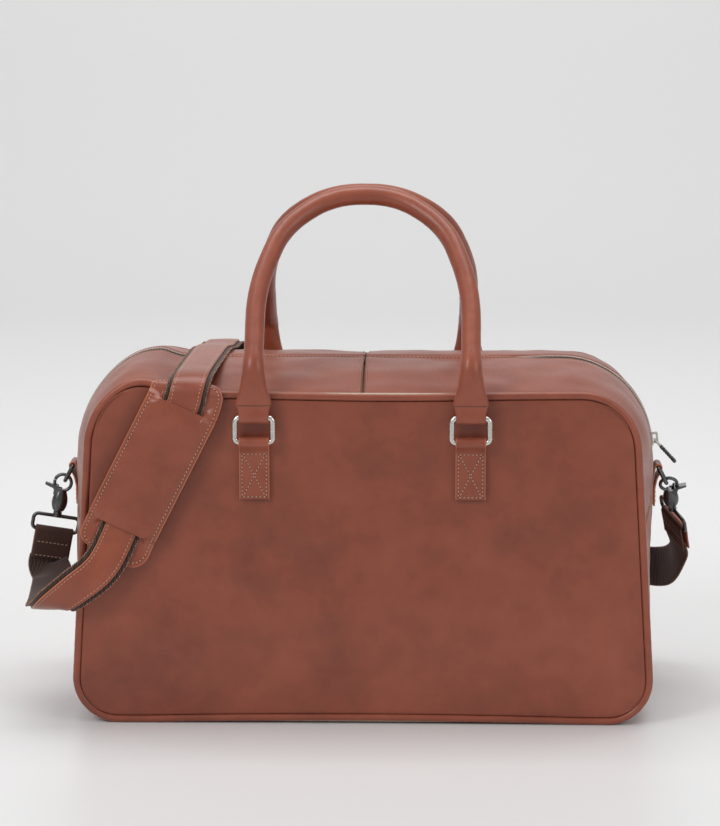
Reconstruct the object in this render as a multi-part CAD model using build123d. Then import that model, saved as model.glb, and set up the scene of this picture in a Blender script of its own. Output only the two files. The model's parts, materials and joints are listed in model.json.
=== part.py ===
from build123d import *
import math
import os

# Weekender bag in soft leather, millimetres. +X to the bag's right, -Y the front, +Z up.
# The origin is on the ground plane under the middle of the bag.

# ---------------------------------------------------------------- driving dimensions
LEATHER = 2.5               # shell leather with its backing
SEAM_GAP = 0.2              # clearance left along each seam line
PANEL_Y = 120.7             # middle of the piping, front and back
GUSSET_Y = 117.0            # half width of the gusset between the two piped seams
PANEL_HALF_BOTTOM = 263.5   # gusset outline where it meets the panels
PANEL_HALF_TOP = 245.5
PANEL_TOP = 304.5
PANEL_R_BOTTOM = 38.0
PANEL_R_TOP = 52.0
MID_HALF = 267.0            # gusset outline half way between the panels
MID_TOP = 320.0
MID_R_BOTTOM = 42.0
MID_R_TOP = 85.0
PIPING_R = 3.5
PIPING_CORE_R = 1.6
PIPING_INSET = 1.0          # middle of the piping inside the gusset outline

BOTTOM_HALF_X = 222.0       # the flat bottom panel ends here, the end gussets begin
ARCH_EDGE_Z = 175.0         # arched seam on each end face, at the piping
ARCH_MID_Z = 200.0          # and at mid depth

ZIP_GAP = 6.0               # half gap between the gusset lips
ZIP_TEETH = 3.0             # half width of the chain
ZIP_TAPE = 16.0             # half width of the tape
ZIP_END_Z = 228.0           # where the zip stops on each end face
SLIDER_ANGLE = 6.0          # slider's place on the corner arc, degrees above its start

LEG_X = 97.0                # handle legs, rings and chapes
BAR_Y = 133.0               # ring bars
BAR_LOW_Z = 262.0
BAR_HIGH_Z = 284.0
RING_HALF = 17.0            # side bars of the rectangular rings
RING_WIRE_R = 2.5
CHAPE_WIDTH = 27.0
CHAPE_BOTTOM_Z = 204.0
HANDLE_R = 9.0
HANDLE_CORE_R = 6.0
HANDLE_END_Z = 318.0        # top of the flared handle end, where the round grip starts
HANDLE_BEND_Z = 332.0
HANDLE_LEAN = 41.3          # degrees the arch leans in over the bag
BAR_CLEARANCE = 0.25

TAB_WIDTH = 24.0
TAB_BAR = (273.2, 0.0, 217.0)   # bar of the right hand D-ring
D_WIRE_R = 1.9
D_HALF = 14.5
D_DROP = 17.6
D_TILT = 28.0               # degrees the D-ring hangs away from the end face

STRAP_WIDTH = 38.0
STRAP_LEATHER_WIDTH = 29.0
STRAP_LAYER = 1.9           # webbing and leather strip, each
PAD_WIDTH = 66.0
PAD_THICKNESS = 3.2
WRAP_LENGTH = 22.0          # leather strap ends, below the swivel loop

os.makedirs("parts", exist_ok=True)


def save(name, solid):
    export_step(solid, f"parts/{name}.step")
    print(f"{name:26s} {solid.volume / 1000:9.2f} cm3")


def cylinder(radius, start, end):
    """A round bar from one point to another."""
    start, end = Vector(*start), Vector(*end)
    face = Plane(origin=start, z_dir=end - start) * Circle(radius)
    return extrude(face, amount=(end - start).length)


def box(low, high):
    size = [b - a for a, b in zip(low, high)]
    middle = [(a + b) / 2 for a, b in zip(low, high)]
    return Pos(*middle) * Box(*size)


def tube(path, radius):
    """A round section swept along a path of runs and arcs."""
    return sweep(Plane(origin=path @ 0, z_dir=path % 0) * Circle(radius), path=path)


# ---------------------------------------------------------------- shell
def outline(y, half_bottom, half_top, low, high, r_bottom, r_top):
    """Rounded trapezoid in the plane at depth y."""
    line = FilletPolyline(
        (-half_bottom, y, low), (half_bottom, y, low), (half_top, y, high), (-half_top, y, high),
        radius=(r_bottom, r_bottom, r_top, r_top), close=True)
    return make_face(line)


def edge_outline(y, inset, low=0.0):
    return outline(y, PANEL_HALF_BOTTOM - inset, PANEL_HALF_TOP - inset, low, PANEL_TOP - inset,
                   PANEL_R_BOTTOM - inset, PANEL_R_TOP - inset)


def mid_outline(inset, low=0.0):
    return outline(0, MID_HALF - inset, MID_HALF - inset, low, MID_TOP - inset,
                   MID_R_BOTTOM - inset, MID_R_TOP - inset)


def bag_volume(inset, reach):
    """The bulging volume between the panels, drawn in by inset."""
    return loft([edge_outline(-reach, inset, inset), mid_outline(inset, inset),
                 edge_outline(reach, inset, inset)])


def arch_cutter(lift):
    """Everything under the arched seam that crosses both end faces."""
    rise = ARCH_MID_Z - ARCH_EDGE_Z
    radius = (GUSSET_Y ** 2 + rise ** 2) / (2 * rise)
    centre = ARCH_MID_Z - radius + lift
    return Pos(0, 0, centre) * Rot(0, 90, 0) * Cylinder(radius, 2 * MID_HALF + 40)


shell = bag_volume(0, GUSSET_Y) - bag_volume(LEATHER, GUSSET_Y)
below_arch = arch_cutter(0)
above_arch = arch_cutter(SEAM_GAP)
span = MID_HALF + 20

save("bottom_panel", box((-BOTTOM_HALF_X, -GUSSET_Y, 0), (BOTTOM_HALF_X, GUSSET_Y, LEATHER)))
lower_shell = shell & below_arch
upper_shell = (shell - above_arch) & box((-span, -GUSSET_Y, ARCH_EDGE_Z - 5), (span, GUSSET_Y, MID_TOP + 5))
for side, sign in (("left", -1), ("right", 1)):
    inner, outer = sorted((sign * (BOTTOM_HALF_X + SEAM_GAP), sign * span))
    save(f"end_gusset_{side}", lower_shell & box((inner, -GUSSET_Y, 0), (outer, GUSSET_Y, ARCH_MID_Z + 5)))
    for face, depth in (("front", -1), ("back", 1)):
        x_low, x_high = sorted((sign * SEAM_GAP / 2, sign * span))
        y_low, y_high = sorted((depth * ZIP_GAP, depth * GUSSET_Y))
        save(f"top_gusset_{face}_{side}", upper_shell & box((x_low, y_low, 0), (x_high, y_high, MID_TOP + 5)))


def piping_line(y):
    """Closed line of the welt, started and ended in the middle of the bottom run."""
    low = PIPING_R
    wide, narrow = PANEL_HALF_BOTTOM - PIPING_INSET, PANEL_HALF_TOP - PIPING_INSET
    high = PANEL_TOP - PIPING_INSET
    return FilletPolyline(
        (0, y, low), (wide, y, low), (narrow, y, high), (-narrow, y, high), (-wide, y, low), (-0.001, y, low),
        radius=(PANEL_R_BOTTOM, PANEL_R_TOP, PANEL_R_TOP, PANEL_R_BOTTOM))


for face, depth in (("front", -1), ("back", 1)):
    y = depth * PANEL_Y
    path = piping_line(y)
    cover = tube(path, PIPING_R) - tube(path, PIPING_CORE_R + SEAM_GAP / 2)
    save(f"piping_{face}", cover)
    save(f"piping_core_{face}", tube(path, PIPING_CORE_R))
    room = PIPING_R + SEAM_GAP
    plate = outline(y, PANEL_HALF_BOTTOM - PIPING_INSET - room, PANEL_HALF_TOP - PIPING_INSET - room,
                    PIPING_R + room, PANEL_TOP - PIPING_INSET - room, PANEL_R_BOTTOM - room, PANEL_R_TOP - room)
    save(f"{face}_panel", extrude(plate, amount=LEATHER, dir=(0, depth, 0)))

# ---------------------------------------------------------------- inside
BOARD = (212.0, 110.0, 2.2)
LINING_INSET = 5.6
save("base_board", Pos(0, 0, LEATHER + 0.2 + BOARD[2] / 2) * Box(2 * BOARD[0], 2 * BOARD[1], BOARD[2]))
lining = bag_volume(LINING_INSET, GUSSET_Y) - bag_volume(LINING_INSET + 1, GUSSET_Y - 1)
zip_slot = box((-span, -ZIP_TAPE, ARCH_MID_Z + 8), (span, ZIP_TAPE, MID_TOP))
save("lining", lining - zip_slot)


# ---------------------------------------------------------------- zip
def zip_band(inset, thickness, y_low, y_high):
    """A strip that follows the middle outline over the top and down both ends."""
    ring = mid_outline(inset, inset) - mid_outline(inset + thickness, inset + thickness)
    strip = extrude(ring, amount=y_high - y_low, dir=(0, 1, 0))
    strip = Pos(0, y_low, 0) * strip
    return strip & box((-span, -50, ZIP_END_Z), (span, 50, MID_TOP + 5))


save("zip_tape_front", zip_band(3.2, 0.8, -ZIP_TAPE, -ZIP_TEETH - 0.1))
save("zip_tape_back", zip_band(3.2, 0.8, ZIP_TEETH + 0.1, ZIP_TAPE))
save("zip_teeth", zip_band(1.0, 2.8, -ZIP_TEETH, ZIP_TEETH))
for side, sign in (("left", -1), ("right", 1)):
    x_low, x_high = sorted((sign * (MID_HALF - 3.8), sign * (MID_HALF + 0.6)))
    save(f"zip_stop_{side}", box((x_low, -4.5, ZIP_END_Z - 5), (x_high, 4.5, ZIP_END_Z - 0.2)))

arc_centre = Vector(MID_HALF - MID_R_TOP, 0, MID_TOP - MID_R_TOP)
outward = Vector(math.cos(math.radians(SLIDER_ANGLE)), 0, math.sin(math.radians(SLIDER_ANGLE)))
along = Vector(-outward.Z, 0, outward.X)
slider_frame = Plane(origin=arc_centre + outward * MID_R_TOP, x_dir=outward, z_dir=along)
# in this frame x is out of the bag, y is depth and z runs up the zip
plate = box((-0.5, -5, -7), (1.6, 5, 7))
slider = fillet(plate.edges().filter_by(Axis.X), 1.8)
slider += box((-3.0, -5, -5), (0, -3.5, 5)) + box((-3.0, 3.5, -5), (0, 5, 5))
crown = box((1.0, -1.8, -5.5), (6.6, 1.8, 5))
crown = fillet(crown.edges().filter_by(Axis.Y).group_by(Axis.X)[-1], 1.6)
slider += crown - box((1.6, -3, -3.8), (4.6, 3, 3.2))
save("zip_slider", slider_frame * slider)

PULL_PIVOT = (3.1, 0, -2.0)         # in the slider's frame, inside the crown
PULL_TILT = 34.0                    # degrees from hanging straight along the end face
PULL_LENGTH = 29.0
pull_plane = slider_frame * Pos(*PULL_PIVOT) * Rot(0, -PULL_TILT - SLIDER_ANGLE / 2, 0)
link_path = FilletPolyline((0, -3.3, 0), (0, 3.3, 0), (0, 3.3, -7.5), (0, -3.3, -7.5), radius=1.4, close=True)
link_wire = tube(link_path, 0.9)
save("zip_pull_link", pull_plane * link_wire)
pull = box((-1.6, -4.6, -PULL_LENGTH), (1.6, 4.6, -9.0)) + box((-2.2, -2.0, -9.6), (2.2, 2.0, -5.2))
pull -= Pos(0, 0, -7.5) * Rot(90, 0, 0) * Cylinder(1.1, 8)
save("zip_pull", pull_plane * pull)


# ---------------------------------------------------------------- rings, chapes and handles
def swing_bore(sign, y, z, radius, half_length):
    return cylinder(radius, (sign * LEG_X - half_length, y, z), (sign * LEG_X + half_length, y, z))


def chape(sign, depth):
    """Leather tab folded round the ring's lower bar and sewn flat to the panel."""
    face = PANEL_Y + LEATHER + SEAM_GAP
    half = CHAPE_WIDTH / 2
    loop_r = RING_WIRE_R + BAR_CLEARANCE + LEATHER
    flat = [(face, CHAPE_BOTTOM_Z), (face + 2 * LEATHER - 0.6, CHAPE_BOTTOM_Z)]
    tangent = [(BAR_Y + loop_r * 0.95, BAR_LOW_Z - loop_r * 0.31), (BAR_Y - loop_r * 0.86, BAR_LOW_Z + loop_r * 0.5)]
    waist = [(face + 2 * LEATHER - 0.6, BAR_LOW_Z - 24), (face, BAR_LOW_Z - 18)]
    profile = Polyline([(0, depth * y, z) for y, z in (flat[0], flat[1], waist[0], tangent[0], tangent[1], waist[1])],
                       close=True)
    body = extrude(make_face(profile), amount=half, dir=(1, 0, 0), both=True)
    body = Pos(sign * LEG_X, 0, 0) * body
    body += swing_bore(sign, depth * BAR_Y, BAR_LOW_Z, loop_r, half)
    return body - swing_bore(sign, depth * BAR_Y, BAR_LOW_Z, RING_WIRE_R + BAR_CLEARANCE, half + 1)


def ring(sign, depth):
    x, y = sign * LEG_X, depth * BAR_Y
    path = FilletPolyline((x, y, BAR_LOW_Z), (x + RING_HALF, y, BAR_LOW_Z), (x + RING_HALF, y, BAR_HIGH_Z),
                          (x - RING_HALF, y, BAR_HIGH_Z), (x - RING_HALF, y, BAR_LOW_Z), (x - 0.01, y, BAR_LOW_Z),
                          radius=4.0)
    return tube(path, RING_WIRE_R)


def handle_end(sign, depth):
    """Flared leather end, folded round the ring's upper bar."""
    x, y = sign * LEG_X, depth * BAR_Y
    fold_r = RING_WIRE_R + BAR_CLEARANCE + LEATHER
    steps = ((BAR_HIGH_Z, 27, 2 * fold_r, 3), (BAR_HIGH_Z + 13, 33, 12, 5.5),
             (BAR_HIGH_Z + 24, 25, 15, 7), (HANDLE_END_Z, 2 * HANDLE_R, 2 * HANDLE_R, HANDLE_R - 0.1))
    body = loft([Pos(x, y, z) * RectangleRounded(w, d, r) for z, w, d, r in steps])
    body += swing_bore(sign, y, BAR_HIGH_Z, fold_r, 13.5)
    return body - swing_bore(sign, y, BAR_HIGH_Z, RING_WIRE_R + BAR_CLEARANCE, 30)


def grip_line(depth):
    """Arch of the handle: up from one end, leaning in over the bag, and down to the other."""
    lean = math.radians(HANDLE_LEAN)

    def leaned(x, length):
        reach = -depth * length * math.sin(lean)
        return (x, depth * BAR_Y + reach, HANDLE_BEND_Z + length * math.cos(lean))
    half = [leaned(30, 185), leaned(75, 149), leaned(LEG_X, 82), leaned(LEG_X, 0)]
    foot = (LEG_X, depth * BAR_Y, HANDLE_END_Z + SEAM_GAP)
    right = half + [foot]
    left = [(-x, y, z) for x, y, z in reversed(right)]
    points = [Vector(*p) for p in left + right]
    radii = []
    for before, point, after in zip(points, points[1:], points[2:]):
        into, out = point - before, after - point
        turn = math.radians(into.get_angle(out))
        radii.append(0.45 * min(into.length, out.length) / math.tan(turn / 2))
    return FilletPolyline(*points, radius=radii)


for face, depth in (("front", -1), ("back", 1)):
    for side, sign in (("left", -1), ("right", 1)):
        save(f"chape_{face}_{side}", chape(sign, depth))
        save(f"ring_{face}_{side}", ring(sign, depth))
        save(f"handle_{face}_end_{side}", handle_end(sign, depth))
    line = grip_line(depth)
    print("grip length", round(line.length), "mm")
    save(f"handle_{face}_grip", tube(line, HANDLE_R) - tube(line, HANDLE_CORE_R + 0.1))
    save(f"handle_{face}_core", tube(line, HANDLE_CORE_R))

# ---------------------------------------------------------------- D-rings and their tabs
EYE_R = 7.8                 # snap hook's eye, to the middle of its wire
EYE_WIRE_R = 1.6


def on_side(sign, x, y, z):
    return Vector(sign * x, y, z)


def d_ring_frame(sign):
    """Origin on the bar, x along the bar, z back up the way the ring hangs."""
    tilt = math.radians(D_TILT)
    return Plane(origin=on_side(sign, *TAB_BAR), x_dir=(0, 1, 0), z_dir=(-sign * math.sin(tilt), 0, math.cos(tilt)))


def tab(sign):
    face = MID_HALF + 0.3
    x, _, z = TAB_BAR
    loop_r = D_WIRE_R + BAR_CLEARANCE + 2
    profile = Polyline([(sign * px, 0, pz) for px, pz in (
        (face, 180), (face + 3.6, 180), (face + 3.9, z - 16), (x + loop_r * 0.95, z - loop_r * 0.31),
        (x - loop_r * 0.8, z + loop_r * 0.6), (face, z - 6))], close=True)
    body = extrude(make_face(profile), amount=TAB_WIDTH / 2, dir=(0, 1, 0), both=True)
    half = TAB_WIDTH / 2
    body += cylinder(loop_r, (sign * x, -half, z), (sign * x, half, z))
    return body - cylinder(D_WIRE_R + BAR_CLEARANCE, (sign * x, -half - 1, z), (sign * x, half + 1, z))


def d_ring(sign):
    path = FilletPolyline((0, 0, 0), (D_HALF, 0, 0), (D_HALF, 0, -D_DROP), (-D_HALF, 0, -D_DROP), (-D_HALF, 0, 0),
                          (-0.01, 0, 0), radius=(2.4, 11.5, 11.5, 2.4))
    return d_ring_frame(sign) * tube(path, D_WIRE_R)


# ---------------------------------------------------------------- trigger snap hooks
# Hook frame: origin in the middle of the eye, z up the hook, the eye lies in the x-z plane, gate at -x.
LOOP_HALF = 21.5
LOOP_TOP = -32.5
LOOP_LOW = -47.0
LOOP_WIRE_R = 1.75
GATE_ANGLES = (172, 220)
GATE_PIVOT = (-5.5, 0, -5.5)
HOOKS = {
    "left": {"sign": -1, "up": (0.19, 0.0, 0.982), "wire": (2.0, 3.2), "swivel": 12},
    "right": {"sign": 1, "up": (-0.16, -0.55, 0.82), "wire": (2.0, 2.7), "swivel": -62},
}


def hook_frame(side):
    """Places the hook so that the D-ring's lower run passes through the top of its eye."""
    hook = HOOKS[side]
    sign = hook["sign"]
    up = Vector(*hook["up"]).normalized()
    across = Vector(-sign, 0, 0)
    across = (across - up * across.dot(up)).normalized()
    low_wire = d_ring_frame(sign).from_local_coords(Vector(0, 0, -D_DROP))
    centre = low_wire - across * hook["wire"][0] - up * hook["wire"][1]
    return Plane(origin=centre, x_dir=across, z_dir=up)


def eye_arc(start, end, radius):
    path = Plane(origin=(0, 0, 0), x_dir=(1, 0, 0), z_dir=(0, -1, 0)) * CenterArc((0, 0), EYE_R, start, end - start)
    return tube(path, radius)


def hook_body():
    body = eye_arc(-75, 166, EYE_WIRE_R)
    neck = [Pos(0, 0, z) * RectangleRounded(w, d, r) for z, w, d, r in (
        (-27, 10, 10, 4.9), (-24, 13, 11.5, 5.6), (-14, 13.5, 11.5, 5.6), (-6.6, 8, 7, 3.4))]
    body += loft(neck)
    for y in (-1, 1):
        body += cylinder(2.5, (GATE_PIVOT[0], y * 2.6, GATE_PIVOT[2]), (GATE_PIVOT[0], y * 4.2, GATE_PIVOT[2]))
        body += box((GATE_PIVOT[0] - 1.5, min(y * 2.6, y * 4.2), -12), (0, max(y * 2.6, y * 4.2), GATE_PIVOT[2]))
    body -= box((-20, -2.5, -11), (-1.8, 2.5, -2.0))
    body -= cylinder(1.0, (GATE_PIVOT[0], -6, GATE_PIVOT[2]), (GATE_PIVOT[0], 6, GATE_PIVOT[2]))
    body -= cylinder(4.4, (0, 0, -24), (0, 0, -17))
    body -= cylinder(2.65, (0, 0, -28), (0, 0, -23))
    return body


def hook_trigger():
    x, _, z = GATE_PIVOT
    body = eye_arc(*GATE_ANGLES, 1.5) + cylinder(2.3, (x, -2.2, z), (x, 2.2, z))
    lug = Polyline((x - 1, 0, z - 1.8), (x - 10.5, 0, z + 1.0), (x - 10.5, 0, z + 3.2), (x - 1.6, 0, z + 2.0), close=True)
    body += extrude(make_face(lug), amount=2.2, dir=(0, 1, 0), both=True)
    return body - cylinder(1.0, (x, -3, z), (x, 3, z))


def swivel_loop():
    path = FilletPolyline((0, 0, LOOP_LOW), (LOOP_HALF, 0, LOOP_LOW), (LOOP_HALF, 0, LOOP_TOP),
                          (-LOOP_HALF, 0, LOOP_TOP), (-LOOP_HALF, 0, LOOP_LOW), (-0.01, 0, LOOP_LOW), radius=4.5)
    body = tube(path, LOOP_WIRE_R)
    body += cylinder(2.4, (0, 0, LOOP_TOP), (0, 0, -21)) + cylinder(3.9, (0, 0, -23.4), (0, 0, -20))
    return body + cylinder(4.0, (0, 0, LOOP_TOP - 1), (0, 0, -28.2))


for side, hook in HOOKS.items():
    frame = hook_frame(side)
    x, _, z = GATE_PIVOT
    save(f"tab_{side}", tab(hook["sign"]))
    save(f"d_ring_{side}", d_ring(hook["sign"]))
    save(f"hook_body_{side}", frame * hook_body())
    save(f"hook_trigger_{side}", frame * hook_trigger())
    save(f"hook_pin_{side}", frame * cylinder(0.9, (x, -4.6, z), (x, 4.6, z)))
    save(f"swivel_loop_{side}", frame * Rot(0, 0, hook["swivel"]) * swivel_loop())
    pivot = frame.from_local_coords(Vector(*GATE_PIVOT))
    depth_axis = frame.y_dir
    print(side, "hook centre", frame.origin, "up", frame.z_dir, "gate pivot", pivot, "gate axis", depth_axis)

# ---------------------------------------------------------------- shoulder strap
# Each stop of the route: a point on the strap's middle, and the way its leather side faces.
PAD_MIDDLE = (-189, 238)
PAD_RISE = (0.451, 0.893)   # the way the pad runs on the front panel


def on_front(distance, y):
    return (PAD_MIDDLE[0] + PAD_RISE[0] * distance, y, PAD_MIDDLE[1] + PAD_RISE[1] * distance)


def below_loop(side, drop, facing):
    """A stop in line with the swivel loop; facing picks which side the leather is on."""
    frame = hook_frame(side)
    turned = frame * Rot(0, 0, HOOKS[side]["swivel"])
    point = (frame.location * Pos(0, 0, LOOP_LOW - drop)).position
    across = (turned * Pos(0, 1, 0)).position - frame.origin
    normal = across if across.dot(Vector(*facing)) > 0 else -across
    return ((point.X, point.Y, point.Z), (normal.X, normal.Y, normal.Z))


ROUTE = [
    below_loop("left", WRAP_LENGTH + 3.5, (0, 1, 0)),
    below_loop("left", WRAP_LENGTH + 11, (0, 1, 0)),
    ((-293, -17, 113), (0, 0.9, -0.5)),
    ((-292, -42, 105), (0, 0.3, -0.95)),
    ((-290, -76, 103.5), (0, 0, -1)),
    ((-288, -110, 105), (0, -0.3, -0.95)),
    ((-279, -138, 114), (0.1, -0.8, -0.6)),
    ((-259, -146, 129), (0.1, -1, -0.15)),
    (on_front(-98, -139), (0.05, -1, 0)),
    (on_front(-55, -131.5), (0, -1, 0)),
    (on_front(0, -130.8), (0, -1, 0)),
    (on_front(45, -130.8), (0, -1, 0)),
    ((-160, -131.2, 296), (0, -1, 0.1)),
    ((-156, -129, 311), (0, -0.8, 0.6)),
    ((-153, -114, 319.5), (0, -0.25, 0.95)),
    ((-151, -80, 321.5), (0, -0.1, 1)),
    ((-148, -30, 322.8), (0, 0, 1)),
    ((-145, 30, 322.8), (0, 0, 1)),
    ((-142, 80, 317), (0, 0.1, 1)),
    ((-140, 113, 316), (0, 0.25, 0.97)),
    ((-139, 128.5, 311.5), (0, 0.75, 0.65)),
    ((-138, 133, 293), (0, 1, 0.1)),
    ((-136, 131.5, 255), (0, 1, 0)),
    ((-128, 138, 205), (0, 0.95, -0.2)),
    ((-95, 149, 160), (-0.1, 0.85, -0.45)),
    ((-30, 155, 125), (0, 0.8, -0.6)),
    ((60, 153, 103), (0, 0.85, -0.5)),
    ((150, 143, 96), (0.05, 0.95, -0.3)),
    ((228, 135, 94), (0.2, 0.97, -0.1)),
    ((265, 129, 94), (0.7, 0.7, 0)),
    ((281, 108, 97), (0.95, 0.3, 0)),
    ((291, 83, 104), (1, 0.2, 0)),
    ((296, 62, 116), (1, 0.15, 0.1)),
    below_loop("right", WRAP_LENGTH + 11, (1, 0, 0)),
    below_loop("right", WRAP_LENGTH + 3.5, (1, 0, 0)),
]
STEPS = 3                   # stations between two stops


def eased(stops, index, part):
    """Catmull-Rom curve through the stops, so that it passes each of them smoothly."""
    last = len(stops) - 1
    a, b, c, d = (stops[min(max(index + k, 0), last)] for k in (-1, 0, 1, 2))
    square, cube = part * part, part ** 3
    return (b * 2 + (c - a) * part + (a * 2 - b * 5 + c * 4 - d) * square + (b * 3 - a - c * 3 + d) * cube) * 0.5


def stations():
    places = [Vector(*point) for point, _ in ROUTE]
    faces = [Vector(*normal) for _, normal in ROUTE]
    marks = [(i, k / STEPS) for i in range(len(ROUTE) - 1) for k in range(STEPS)] + [(len(ROUTE) - 2, 1.0)]
    line = [eased(places, *mark) for mark in marks]
    result = []
    for number, mark in enumerate(marks):
        ahead = line[min(number + 1, len(line) - 1)] - line[max(number - 1, 0)]
        tangent = ahead.normalized()
        normal = eased(faces, *mark)
        normal = (normal - tangent * normal.dot(tangent)).normalized()
        result.append((line[number], tangent, normal))
    return result


BAND = stations()
RUN = [0.0]
for before, after in zip(BAND, BAND[1:]):
    RUN.append(RUN[-1] + (after[0] - before[0]).length)
print("strap length between the end wraps", round(RUN[-1]), "mm")


def ribbon(band, width, thickness, offset):
    """A flat band through the stations; offset lifts it towards the leather side."""
    faces = []
    for point, tangent, normal in band:
        plane = Plane(origin=point + normal * offset, x_dir=tangent.cross(normal), z_dir=tangent)
        faces.append(plane * Rectangle(width, thickness))
    return loft(faces, ruled=True)


half_layer = STRAP_LAYER / 2 + 0.1
save("strap_webbing", ribbon(BAND, STRAP_WIDTH, STRAP_LAYER, -half_layer))
save("strap_leather", ribbon(BAND, STRAP_LEATHER_WIDTH, STRAP_LAYER, half_layer))


def strap_wrap(side):
    """Leather end that folds round the swivel loop and takes the strap's end."""
    frame = hook_frame(side)
    turn = Rot(0, 0, HOOKS[side]["swivel"])
    bar = Vector(0, 0, LOOP_LOW)
    fold_r = LOOP_WIRE_R + 0.3 + 2
    fold = Pos(bar) * Rot(0, 90, 0) * Cylinder(fold_r, 34)
    tail = [Pos(0, 0, z) * Rectangle(w, d) for z, w, d in (
        (LOOP_LOW, 34, 2 * fold_r), (LOOP_LOW - 9, 36, 6.4), (LOOP_LOW - WRAP_LENGTH, 37, 6.0))]
    fold += loft(tail, ruled=True)
    fold -= Pos(bar) * Rot(0, 90, 0) * Cylinder(LOOP_WIRE_R + 0.3, 60)
    return frame * turn * fold


for side in HOOKS:
    save(f"strap_wrap_{side}", strap_wrap(side))

# ---------------------------------------------------------------- shoulder pad
# The middle of the pad lies over the strap and both its ends lie under it: the strap goes in
# and out through two slits.
pad_run = min(range(len(BAND)), key=lambda i: (BAND[i][0] - Vector(*on_front(0, -130.8))).length)
PAD_AT = RUN[pad_run]
PAD_HALF = 90.0
SLIT_AT = 62.0
SLIT_EASE = 4.0             # the pad changes sides within this length
PAD_LIFT = STRAP_LAYER + 0.7 + PAD_THICKNESS / 2


def station_at(run):
    """Place, direction and leather side at a length along the strap."""
    number = max(i for i, mark in enumerate(RUN) if mark <= run)
    share = (run - RUN[number]) / (RUN[number + 1] - RUN[number])
    here, there = BAND[number], BAND[number + 1]
    point, tangent, normal = (a + (b - a) * share for a, b in zip(here, there))
    return point, tangent.normalized(), normal.normalized()


pad_faces = []
pad_marks = [-PAD_HALF, -SLIT_AT - SLIT_EASE, -SLIT_AT + SLIT_EASE]
pad_marks += [(SLIT_AT - SLIT_EASE) * k / 4 for k in range(-3, 4)]
pad_marks += [SLIT_AT - SLIT_EASE, SLIT_AT + SLIT_EASE, SLIT_AT + 14, SLIT_AT + 19, SLIT_AT + 24, PAD_HALF]
for mark in pad_marks:
    point, tangent, normal = station_at(PAD_AT + mark)
    offset = PAD_LIFT if abs(mark) < SLIT_AT else -PAD_LIFT
    plane = Plane(origin=point + normal * offset, x_dir=tangent.cross(normal), z_dir=tangent)
    pad_faces.append(plane * Rectangle(PAD_WIDTH, PAD_THICKNESS))
pad = loft(pad_faces, ruled=True)
for mark in (-SLIT_AT, SLIT_AT):
    point, tangent, normal = station_at(PAD_AT + mark)
    plane = Plane(origin=point, x_dir=tangent.cross(normal), z_dir=tangent)
    pad -= plane * Box(STRAP_WIDTH + 4, 2 * STRAP_LAYER + 0.9, 4 * SLIT_EASE)
save("shoulder_pad", pad)
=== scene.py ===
# %% [markdown]
# # A leather weekender bag
# The mechanical model of the bag is loaded first and never changed: its plates, rings, hooks and
# joints are where they belong. This lesson dresses it. Every leather piece is made again as a
# skin that sags and rolls as leather does, the metal keeps its model and gets a finish, and the
# whole is lit softly on a pale floor.

import json
import math

import bmesh
import bpy
from mathutils import Matrix, Vector, noise


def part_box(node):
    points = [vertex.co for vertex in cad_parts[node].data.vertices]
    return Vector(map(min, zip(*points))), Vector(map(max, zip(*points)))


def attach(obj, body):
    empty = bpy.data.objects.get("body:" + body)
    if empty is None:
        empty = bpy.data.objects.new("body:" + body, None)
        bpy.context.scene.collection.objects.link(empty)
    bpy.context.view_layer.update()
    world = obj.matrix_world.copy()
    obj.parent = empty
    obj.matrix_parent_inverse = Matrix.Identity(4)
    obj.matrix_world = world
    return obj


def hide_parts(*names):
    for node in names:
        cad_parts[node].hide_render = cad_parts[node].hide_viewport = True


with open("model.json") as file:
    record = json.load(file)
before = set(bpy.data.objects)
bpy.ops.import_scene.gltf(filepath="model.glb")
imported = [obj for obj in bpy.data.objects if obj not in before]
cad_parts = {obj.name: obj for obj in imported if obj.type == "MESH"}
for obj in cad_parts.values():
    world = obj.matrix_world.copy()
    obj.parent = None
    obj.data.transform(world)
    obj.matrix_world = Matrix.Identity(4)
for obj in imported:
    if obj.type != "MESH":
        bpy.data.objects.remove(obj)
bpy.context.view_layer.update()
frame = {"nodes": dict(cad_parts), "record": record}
nodes = frame["nodes"]

# %% [markdown]
# ## Measures
# All lengths are metres. The bag's shell is a rounded trapezoid at the piping, front and back,
# and a wider, higher one half way between, so the ends bulge and the top is crowned. Both are
# given by the same few numbers.

# %% Driving measures
MM = 0.001
GUSSET_Y = 117 * MM         # half width of the gusset between the two piped seams
PIPING_Y = 120.7 * MM
PANEL_Y = 123.2 * MM        # outer face of the front and back panels
PIPING_R = 3.5 * MM
SKIN = 1.7 * MM             # leather thickness
EDGE = {"bottom": 263.5 * MM, "top": 245.5 * MM, "high": 304.5 * MM, "r_bottom": 38 * MM, "r_top": 52 * MM}
MIDDLE = {"bottom": 267 * MM, "top": 267 * MM, "high": 320 * MM, "r_bottom": 42 * MM, "r_top": 85 * MM}
ARCH_EDGE_Z = 175 * MM
ARCH_MID_Z = 200 * MM
ZIP_END_Z = 228 * MM


# %% [markdown]
# ## Helpers for shapes
# Nearly every piece here is a grid that is bent into place: a skin is a grid laid on the bag's
# surface, and a tube or a strap is a grid rolled round a path. One helper makes them all from
# `create_grid`, so each piece only has to say where a point goes.

# %% Bent grids
def smooth(low, high, value):
    """0 below low, 1 above high, and an even ease between."""
    t = min(max((value - low) / (high - low), 0.0), 1.0)
    return t * t * (3 - 2 * t)


def mix(a, b, share):
    return a + (b - a) * share


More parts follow.
